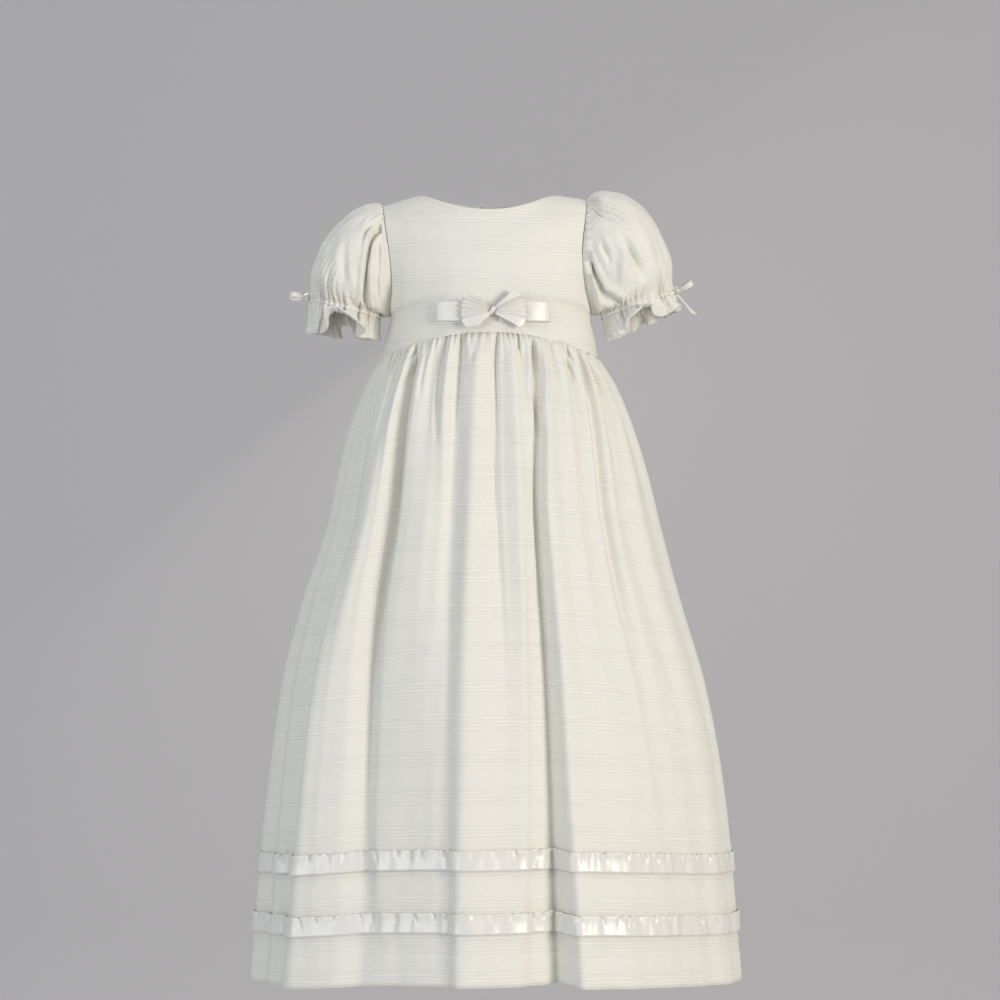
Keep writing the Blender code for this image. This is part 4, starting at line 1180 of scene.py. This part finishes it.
class GOWN_OT_bodice(bpy.types.Operator):
    """Sew the bodice: one front panel and two lapped back panels"""

    bl_idname = "gown.bodice"
    bl_label = "Bodice"

    def panel(self, name, shares, back, lift, node, seed, sizes):
        low, middle = np.linspace(0.0, 0.06, 9), np.linspace(0.06, 0.9, 44)
        heights = np.concatenate([low[:-1], middle[:-1], np.linspace(0.9, 1.0, 17)])
        grid = bodice_points(shares[None, :], heights[:, None], back)
        corner = bump(np.abs(shares) - NECK_SHARE, 0.24)
        soft = (0.10 + 0.90 * ease(1.0 - heights, 0.0, 0.14))[:, None] * corner[None, :]
        for _ in range(160):
            mean = 0.5 * (grid[:, 2:] + grid[:, :-2])
            grid[:, 1:-1] += soft[:, 1:-1, None] * (mean - grid[:, 1:-1])
        low = 1.0 - ease(heights, 0.0, 0.035)[:, None]
        grid[..., 2] -= 1.3 * low
        x = grid[..., 0]
        z = grid[..., 2]
        across = np.abs(shares)[None, :]
        out = 0.85 * low + lift[None, :]
        calm = ease(heights, 0.02, 0.12)[:, None] * ease(1.0 - heights, 0.02, 0.10)[:, None]
        out = out + calm * 0.38 * uneven(x / 24.0 + z / 70.0, z / 30.0, seed)
        out = out + calm * 0.16 * uneven(x / 8.0, z / 12.0, seed + 1)
        arm = ease(across, 0.45, 0.9) * bump(heights[:, None] - 0.30, 0.26)
        slanted = (z + 0.55 * np.abs(x)) / 7.5
        out = out + 0.62 * arm * np.sin(slanted + 1.3 * uneven(x / 18.0, z / 18.0, seed + 2))
        edge = 1.0 - ease(1.0 - heights, 0.0, 0.028)[:, None]
        neck = 1.0 - ease(across, 0.56, 0.66)
        out = out + 0.35 * neck * bump(1.0 - heights[:, None] - 0.018, 0.03) - 0.35 * edge * neck
        points = push(grid, out * np.ones(grid.shape[:2]))
        runs = run_length(points[len(heights) // 2])
        rises = 1.06 * (points[..., 2] - WAIST_SIDE_Z) + 0.022 * points[..., 0]
        piece = cloth(name, points, runs, rises, finish_of("ribbed_cotton"), sizes.cloth_thickness)
        plant(piece, node, slot="cotton")
        return piece, points, grid_normals(points)

    def execute(self, context):
        sizes = context.scene.gown_sizes
        thread = finish_of("sewing_thread")
        turn = np.sin(np.radians(np.linspace(-90.0, 90.0, 151)))
        piece, points, normals = self.panel(
            "bodice_front_cloth", turn, False, np.zeros(len(turn)), "bodice_front", 101, sizes
        )
        inner = np.abs(turn) <= NECK_SHARE - 0.01
        stitch_row("neck_stitches_front", points[-6][inner], normals[-6][inner], thread, sizes)

        lap = BACK_LAP / 92.0
        half = np.sin(np.radians(np.linspace(0.0, 90.0, 81)))
        under = np.concatenate([[-lap, -0.6 * lap, -0.3 * lap], half])[::-1]
        upper = np.concatenate([[lap, 0.6 * lap, 0.3 * lap], -half])
        lift = (WALL + 0.5) * ease(upper, -0.17, -0.08)
        backs = (
            ("right", under, np.zeros(len(under)), 131, under > lap + 0.01),
            ("left", upper, lift, 151, upper < 1.0),
        )
        for name, shares, lift, seed, bare in backs:
            node = "bodice_back_" + name
            piece, points, normals = self.panel(node + "_cloth", shares, True, lift, node, seed, sizes)
            inner = (np.abs(shares) <= NECK_SHARE - 0.01) & bare
            stitch_row("neck_stitches_back_" + name, points[-6][inner], normals[-6][inner], thread, sizes)
        stitch_row("lap_stitches", points[:-5, 1], normals[:-5, 1], thread, sizes)
        return {"FINISHED"}


class GOWN_OT_sleeves(bpy.types.Operator):
    """Sew the puff sleeves with their ruffles, cuff ribbons and ties"""

    bl_idname = "gown.sleeves"
    bl_label = "Sleeves"

    def execute(self, context):
        sizes = context.scene.gown_sizes
        self.sleeve(sizes, "left", -1.0, SLEEVE_LEFT, FOLDS_LEFT, RUFFLE_LEFT, TAIL_LEFT, 201)
        self.sleeve(sizes, "right", 1.0, SLEEVE_RIGHT, FOLDS_RIGHT, RUFFLE_RIGHT, TAIL_RIGHT, 251)
        return {"FINISHED"}

    def sleeve(self, sizes, name, side, sections, folds, flutes, tail, seed):
        columns = SLEEVE_COLUMNS
        angle = np.arange(columns) * 360.0 / columns
        rings, outward, down = sleeve_form(side, sections, folds, flutes, columns)
        if side > 0:
            order = np.concatenate([[0], np.arange(columns - 1, 0, -1)])
        else:
            order = np.arange(columns)
        rings = rings[:, order]
        outward = outward[order]
        out = sleeve_folds(rings, angle[order], seed)
        points = push(rings[::-1], out[::-1], closed=True)
        round_it = np.linalg.norm(np.diff(np.concatenate([rings, rings[:, :1]], axis=1), axis=1), axis=2)
        runs = np.linspace(0.0, float(round_it.sum(axis=1)[:CUFF_RING - 2].max()), columns + 1)
        steps = np.linalg.norm(np.diff(rings[::-1], axis=0), axis=2)
        rises = np.concatenate([np.zeros((1, columns)), np.cumsum(steps, axis=0)])
        rises = np.mean([np.roll(rises, k, axis=1) for k in range(-12, 13)], axis=0) + 7.0 * side
        piece = cloth(
            "sleeve_%s_cloth" % name, points, runs, np.concatenate([rises, rises[:, :1]], axis=1),
            finish_of("ribbed_cotton"), sizes.cloth_thickness, tube=True,
        )
        plant(piece, "sleeve_" + name, slot="cotton")
        self.cuff_ribbon(sizes, name, points, outward, angle[order] / 360.0, seed)
        self.rolled_hem("ruffle_hem_" + name, points[0])
        top_of_cuff = rings[CUFF_RING][0]
        outer = 0.5 * (top_of_cuff + (top_of_cuff + down * CUFF_WIDTH))
        centre = outer + unit(np.array([side * 0.96, -0.1, 0.25])) * 4.4
        self.knot("cuff_knot_%s_satin" % name, centre, "cuff_knot_" + name)
        self.loops(sizes, name, side, centre)
        self.tail(sizes, name, tail)

    def cuff_ribbon(self, sizes, name, points, outward, turn, seed):
        """The narrow ribbon over the cuff's gathers, lying unevenly on them."""
        first, final = [points[len(points) - 1 - ring] for ring in RIBBON_RINGS]
        cover = 0.30 + 0.75 * uneven(turn * 31, 0.5, seed + 9, 31)
        cover = cover + 0.3 * uneven(turn * 71, 1.5, seed + 10, 71)
        rows = []
        for part in np.linspace(1.0, 0.0, 7):
            bulge = 0.25 * math.sin(math.pi * part)
            rows.append(first + (final - first) * part + outward * (cover + bulge)[:, None])
        runs = run_length(np.concatenate([rows[0], rows[0][:1]]))
        piece = cloth(
            "cuff_ribbon_%s_satin" % name, np.array(rows), runs, np.linspace(0.0, 2.6, 7),
            finish_of("satin_ribbon"), sizes.ribbon_thickness, tube=True, offset=1.0,
        )
        plant(piece, "cuff_ribbon_" + name, slot="satin")

    def loops(self, sizes, name, side, centre):
        """The tie's two loops: one points out to the side, one back."""
        far, rise = line_through(CUFF_LOOP, np.linspace(0.0, len(CUFF_LOOP) - 1, 61))
        directions = (
            ("a", np.array([side * 0.93, -0.25, 0.5 if side > 0 else 0.12]), 62.0),
            ("b", np.array([side * 0.1, 1.0, 0.1]), 20.0),
        )
        for label, along, roll in directions:
            along = unit(along)
            level = unit(np.cross(along, np.array([0.0, 0.0, 1.0])))
            upright = np.cross(level, along)
            roll = math.radians(roll)
            wide = level * math.cos(roll) + upright * math.sin(roll)
            lift = upright * math.cos(roll) - level * math.sin(roll)
            path = centre + along * far[:, None] + lift * rise[:, None]
            pinch = 3.0 + 2.2 * ease(far, 2.0, 9.0)
            shares = np.linspace(-0.5, 0.5, 9)
            rows = np.array([path + wide * (share * pinch)[:, None] for share in shares])
            piece = cloth(
                "cuff_loop_%s_%s_satin" % (label, name), rows, run_length(path),
                5.0 * shares, finish_of("satin_ribbon"), sizes.ribbon_thickness, offset=0.0,
            )
            plant(piece, "cuff_loop_%s_%s" % (label, name), slot="satin")

    def tail(self, sizes, name, tail):
        """The tie's free end, a little twisted."""
        fine = np.linspace(0.0, len(tail) - 1, 31)
        path = np.stack(line_through(tail, fine), axis=1)
        twist = np.radians(35.0 * np.sin(fine * 1.2))
        turn = [0.9 * np.cos(twist), 0.3 + 0.9 * np.sin(twist), np.zeros(len(fine))]
        piece = ribbon_strip(
            "cuff_tail_%s_satin" % name, path, np.stack(turn, axis=1), 4.0, finish_of("satin_ribbon"),
            sizes.ribbon_thickness, ends=2.0,
        )
        plant(piece, "cuff_tail_" + name, slot="satin")

    def rolled_hem(self, name, rim):
        """A narrow rolled hem round the ruffle's edge."""
        ahead = unit(np.roll(rim, -1, axis=0) - np.roll(rim, 1, axis=0))
        side = unit(np.cross(ahead, np.array([0.0, 0.0, 1.0])))
        up = np.cross(side, ahead)
        rows = []
        for part in np.linspace(0.0, 2.0 * math.pi, 7)[:-1]:
            rows.append(rim + 0.62 * (side * math.cos(part) + up * math.sin(part)))
        rows.append(rows[0])
        grid = np.array(rows)
        bm, _ = grid_mesh(np.concatenate([grid, grid[:, :1]], axis=1))
        bmesh.ops.remove_doubles(bm, verts=bm.verts, dist=1e-6)
        bmesh.ops.recalc_face_normals(bm, faces=bm.faces)
        piece = new_piece(name, bm, finish_of("sewing_thread"))
        plant(piece, slot="cotton")

    def knot(self, name, centre, node):
        """A small tied knot: ridges of ribbon turned round it."""
        bm = bmesh.new()
        bmesh.ops.create_uvsphere(bm, u_segments=36, v_segments=20, radius=1.0)
        weave = bm.loops.layers.uv.new("weave")
        for vert in bm.verts:
            around = math.atan2(vert.co.z, vert.co.x)
            ridge = 0.16 * math.sin(3.0 * around + 2.6 * vert.co.y)
            ridge += 0.07 * math.sin(7.0 * around - 4.0 * vert.co.y)
            vert.co = vert.co * (2.6 + ridge * 2.2) * MM
            vert.co.y *= 1.15
        for face in bm.faces:
            for loop in face.loops:
                loop[weave].uv = (loop.vert.co.x, loop.vert.co.z)
        bmesh.ops.translate(bm, vec=Vector(centre * MM), verts=bm.verts)
        piece = new_piece(name, bm, finish_of("satin_ribbon"))
        plant(piece, node, slot="satin")


class GOWN_OT_bow(bpy.types.Operator):
    """Tie the satin bow at the front of the waist"""

    bl_idname = "gown.bow"
    bl_label = "Bow"

    def place(self, across, up, out):
        point, normal = front_at(BOW_X + across, BOW_Z + up)
        return point + normal * np.asarray(out)[..., None]

    def execute(self, context):
        sizes = context.scene.gown_sizes
        satin = finish_of("satin_ribbon")
        for name, side in (("left", -1.0), ("right", 1.0)):
            self.loop(name, side, satin, sizes)
            self.fan(name, side, satin, sizes)
        self.pinch(satin, sizes)
        return {"FINISHED"}

    def loop(self, name, side, satin, sizes):
        fine = np.linspace(0.0, len(BOW_LOOP) - 1, 91)
        along, out = line_through(BOW_LOOP, fine)
        upper = ease(fine, 4.6, 5.4)
        across = np.linspace(-9.2, 8.8, 17)
        drop = (2.4 if side < 0 else 0.6) * (1.0 - upper) * along / 50.0
        shift = across[:, None] - drop[None, :]
        rough = uneven(along / 9.0, across[:, None] / 9.0, 7)
        bulge = upper * bump(along - 38.0, 16.0) * (0.5 + 0.25 * rough)
        outs = out[None, :] + bulge * np.ones(shift.shape)
        points = self.place(side * along[None, :] * np.ones(shift.shape), shift, outs)
        if side < 0:
            points = points[:, ::-1]
        piece = cloth(
            "bow_loop_%s_satin" % name, points, run_length(points[8]), across, satin,
            sizes.ribbon_thickness, offset=1.0,
        )
        plant(piece, "bow_loop_" + name, slot="satin")

    def fan(self, name, side, satin, sizes):
        outline = FAN_LEFT if side < 0 else FAN_RIGHT
        height = np.linspace(0.0, 1.0, 121)
        lines = np.linspace(0.0, 1.0, len(outline))
        edge_x = curve(height, lines, column(outline, 0))
        edge_z = curve(height, lines, column(outline, 1))
        part = np.linspace(0.0, 1.0, 25)[None, :]
        start_x = side * 1.3
        start_z = -2.9 + 5.4 * height
        across = start_x + (edge_x[:, None] - start_x) * part
        up = start_z[:, None] + (edge_z - start_z)[:, None] * part
        puff = np.sin(math.pi * np.clip(part, 0.0, 1.0)) ** 0.8
        ragged = uneven(height * 9.0, 0.5, 31 + int(side))[:, None]
        across = across + side * 0.5 * ragged * part**3
        out = 5.6 + 1.6 * part**0.5 + 1.7 * puff
        for centre, deep, wide in PLEATS_LEFT if side < 0 else PLEATS_RIGHT:
            lean = centre + 0.03 * (part - 0.5)
            apart = height[:, None] - lean
            near = np.clip(1.0 - np.abs(apart) / wide, 0.0, 1.0) ** 1.2
            out = out - deep * near * (0.55 + 0.45 * part)
            out = out + 0.45 * deep * bump(apart - 1.5 * wide, 1.2 * wide) * (0.4 + 0.6 * part)
        out = out + 0.5 * uneven(height[:, None] * 5.0, part * 2.0, 41 + int(side)) * part
        if side > 0:
            out = out + 1.6 * ease(height, 0.72, 0.86)[:, None] * part**0.7
        else:
            out = out + 1.3 * (1.0 - ease(height, 0.16, 0.40))[:, None] * part**0.7
        points = self.place(across, up, out)
        if side < 0:
            points = points[:, ::-1]
        piece = cloth(
            "bow_fan_%s_satin" % name, points, np.linspace(0.0, 24.0, 25), run_length(points[:, 12]),
            satin, sizes.ribbon_thickness,
        )
        plant(piece, "bow_fan_" + name, slot="satin")

    def pinch(self, satin, sizes):
        """The bow's middle, where the pleats are drawn together and wrapped."""
        index = np.linspace(0.0, 2.0 * math.pi, 73)
        width = np.linspace(-1.0, 1.0, 25)
        rows = []
        for turn in index:
            row = []
            ridge = 0.22 * math.cos(5.0 * turn + 0.6)
            for across in width:
                waist = 0.84 + 0.16 * across * across
                high = (3.5 * waist + ridge) * math.sin(turn)
                out = 4.7 + (3.3 * waist + ridge) * math.cos(turn)
                row.append((1.9 * across + 0.62 * high, high - 0.5 * across, out))
            rows.append(row)
        grid = np.array(rows)
        points = self.place(grid[..., 0], grid[..., 1], grid[..., 2])[::-1]
        piece = cloth(
            "bow_centre_satin", points, np.linspace(0.0, 9.2, 25), run_length(points[:, 12]), satin,
            sizes.ribbon_thickness, offset=-1.0,
        )
        plant(piece, "bow_centre", slot="satin")


class GOWN_OT_buttons(bpy.types.Operator):
    """Sew the three back buttons in their buttonholes"""

    bl_idname = "gown.buttons"
    bl_label = "Back buttons"

    def execute(self, context):
        sizes = context.scene.gown_sizes
        for index, height in enumerate(BUTTON_HEIGHTS, start=1):
            low = bodice_points(-0.02, height - 0.02, True)
            high = bodice_points(-0.02, height + 0.02, True)
            place = 0.5 * (low + high)
            up = unit(high - low)
            out = unit(np.cross(np.array([-1.0, 0.0, 0.0]), up))
            bm = bmesh.new()
            verts = [bm.verts.new((x * MM, 0.0, z * MM)) for x, z in BUTTON_OUTLINE]
            edges = [bm.edges.new(pair) for pair in zip(verts, verts[1:])]
            bmesh.ops.spin(
                bm, geom=verts + edges, cent=(0, 0, 0), axis=(0, 0, 1), angle=2.0 * math.pi,
                steps=40, use_merge=True, use_duplicate=False,
            )
            bmesh.ops.remove_doubles(bm, verts=bm.verts, dist=1e-6)
            bmesh.ops.recalc_face_normals(bm, faces=bm.faces)
            turn = Vector(out).to_track_quat("Z", "Y").to_matrix().to_4x4()
            spot = Vector((place + out * (WALL + BUTTON_LIFT)) * MM)
            bmesh.ops.transform(bm, matrix=Matrix.Translation(spot) @ turn, verts=bm.verts)
            name = "back_button_%d" % index
            plant(new_piece(name + "_pearl", bm, finish_of("pearl_button")), name, slot="button")
            self.thread_and_hole(name, place, out, up, sizes)
        return {"FINISHED"}

    def thread_and_hole(self, name, place, out, up, sizes):
        side = np.cross(up, out)
        top = place + out * (WALL + BUTTON_LIFT + 0.42)
        bm = bmesh.new()
        for cross in ((side + up), (side - up)):
            cross = unit(cross)
            turn = Vector(cross).to_track_quat("Z", "Y").to_matrix().to_4x4()
            for shift in (-0.28, 0.28):
                bar = bmesh.ops.create_icosphere(bm, subdivisions=2, radius=1.0)
                beside = np.cross(cross, out) * shift
                matrix = Matrix.Translation(Vector((top + beside) * MM)) @ turn
                matrix = matrix @ Matrix.Diagonal((0.27 * MM, 0.27 * MM, 1.35 * MM, 1.0))
                bmesh.ops.transform(bm, matrix=matrix, verts=bar["verts"])
        plant(new_piece(name + "_thread", bm, finish_of("sewing_thread")), slot="button")
        angle = np.linspace(0.0, 2.0 * math.pi, 61)
        long = 5.6 * np.sign(np.cos(angle)) * np.abs(np.cos(angle)) ** 0.35
        tall = 0.8 * np.sin(angle)
        path = place + out * (0.5 + WALL) + side * long[:, None] + up * tall[:, None]
        normals = np.broadcast_to(out, path.shape)
        stitch_row(name + "_hole", path, normals, finish_of("sewing_thread"), sizes, pitch=0.0009)


class GOWN_OT_hem_stitches(bpy.types.Operator):
    """Sew the stitched line of the turned hem"""

    bl_idname = "gown.hem_stitches"
    bl_label = "Hem stitches"

    def execute(self, context):
        sizes = context.scene.gown_sizes
        thread = finish_of("sewing_thread")
        shares = np.linspace(HEM_LINE - 0.004, HEM_LINE + 0.004, 5)
        for side, table, per_fold, seed in SKIRT_SIDES:
            points = skirt_surface(table, shares, 2 * per_fold, sizes, seed)[0]
            stitch_row("hem_stitches_" + side, points[2], grid_normals(points)[2], thread, sizes)
        return {"FINISHED"}


class GOWN_OT_stage(bpy.types.Operator):
    """Set the floor, backdrop, lights and camera"""

    bl_idname = "gown.stage"
    bl_label = "Stage"

    def execute(self, context):
        bm = bmesh.new()
        bmesh.ops.create_grid(bm, x_segments=2, y_segments=40, size=1.0)
        for vert in bm.verts:
            part = 0.5 * (vert.co.y + 1.0)
            x = vert.co.x * 6.0
            if part < 0.5:
                vert.co = (x, -5.0 + part * 2.0 * 7.3, FLOOR_Z)
            elif part < 0.75:
                turn = (part - 0.5) / 0.25 * math.pi / 2.0
                vert.co = (x, 2.3 + 1.0 * math.sin(turn), FLOOR_Z + 1.0 * (1.0 - math.cos(turn)))
            else:
                vert.co = (x, 3.3, FLOOR_Z + 1.0 + (part - 0.75) / 0.25 * 3.5)
        floor = new_piece("floor", bm, finish_of("backdrop_paper"))
        for light in LIGHTS:
            self.light(*light)
        world = bpy.data.worlds.new("soft_studio")
        world.use_nodes = True
        shade = world.node_tree.nodes["Background"]
        shade.inputs["Color"].default_value = (0.91, 0.94, 1.0, 1.0)
        shade.inputs["Strength"].default_value = 0.40
        context.scene.world = world
        context.scene.view_settings.view_transform = "Standard"
        camera = bpy.data.cameras.new("camera")
        camera.lens = CAMERA_LENS
        camera.sensor_width = 36.0
        camera.clip_end = 20.0
        holder = bpy.data.objects.new("camera", camera)
        holder.location = CAMERA_PLACE
        holder.rotation_euler = (math.radians(90.0), 0.0, 0.0)
        context.scene.collection.objects.link(holder)
        context.scene.camera = holder
        return {"FINISHED"}

    def light(self, name, place, size, power, colour):
        lamp = bpy.data.lights.new(name, "AREA")
        lamp.size = size
        lamp.energy = power
        lamp.color = colour
        holder = bpy.data.objects.new(name, lamp)
        holder.location = place
        aim = Vector((0.0, 0.0, -0.35)) - Vector(place)
        holder.rotation_euler = aim.to_track_quat("-Z", "Y").to_euler()
        bpy.context.scene.collection.objects.link(holder)


class GOWN_PT_panel(bpy.types.Panel):
    """The gown's sizes, colours and pieces"""

    bl_label = "Christening gown"
    bl_idname = "GOWN_PT_panel"
    bl_space_type = "VIEW_3D"
    bl_region_type = "UI"
    bl_category = "Gown"

    def draw(self, context):
        for group in (context.scene.gown_sizes, context.scene.gown_colours):
            box = self.layout.box()
            for name in group.__annotations__:
                box.prop(group, name)
        for piece in OPERATORS:
            self.layout.operator(piece.bl_idname)


OPERATORS = (
    GOWN_OT_stage,
    GOWN_OT_skirt,
    GOWN_OT_ribbon_bands,
    GOWN_OT_hem_stitches,
    GOWN_OT_bodice,
    GOWN_OT_sleeves,
    GOWN_OT_bow,
    GOWN_OT_buttons,
)
CLASSES = (GownSizes, GownColours, *OPERATORS, GOWN_PT_panel)


def register():
    for kind in CLASSES:
        bpy.utils.register_class(kind)
    bpy.types.Scene.gown_sizes = bpy.props.PointerProperty(type=GownSizes)
    bpy.types.Scene.gown_colours = bpy.props.PointerProperty(type=GownColours)


def unregister():
    del bpy.types.Scene.gown_colours
    del bpy.types.Scene.gown_sizes
    for kind in reversed(CLASSES):
        bpy.utils.unregister_class(kind)


def main():
    register()
    for piece in OPERATORS:
        group, name = piece.bl_idname.split(".")
        getattr(getattr(bpy.ops, group), name)()


if __name__ == "__main__":
    main()
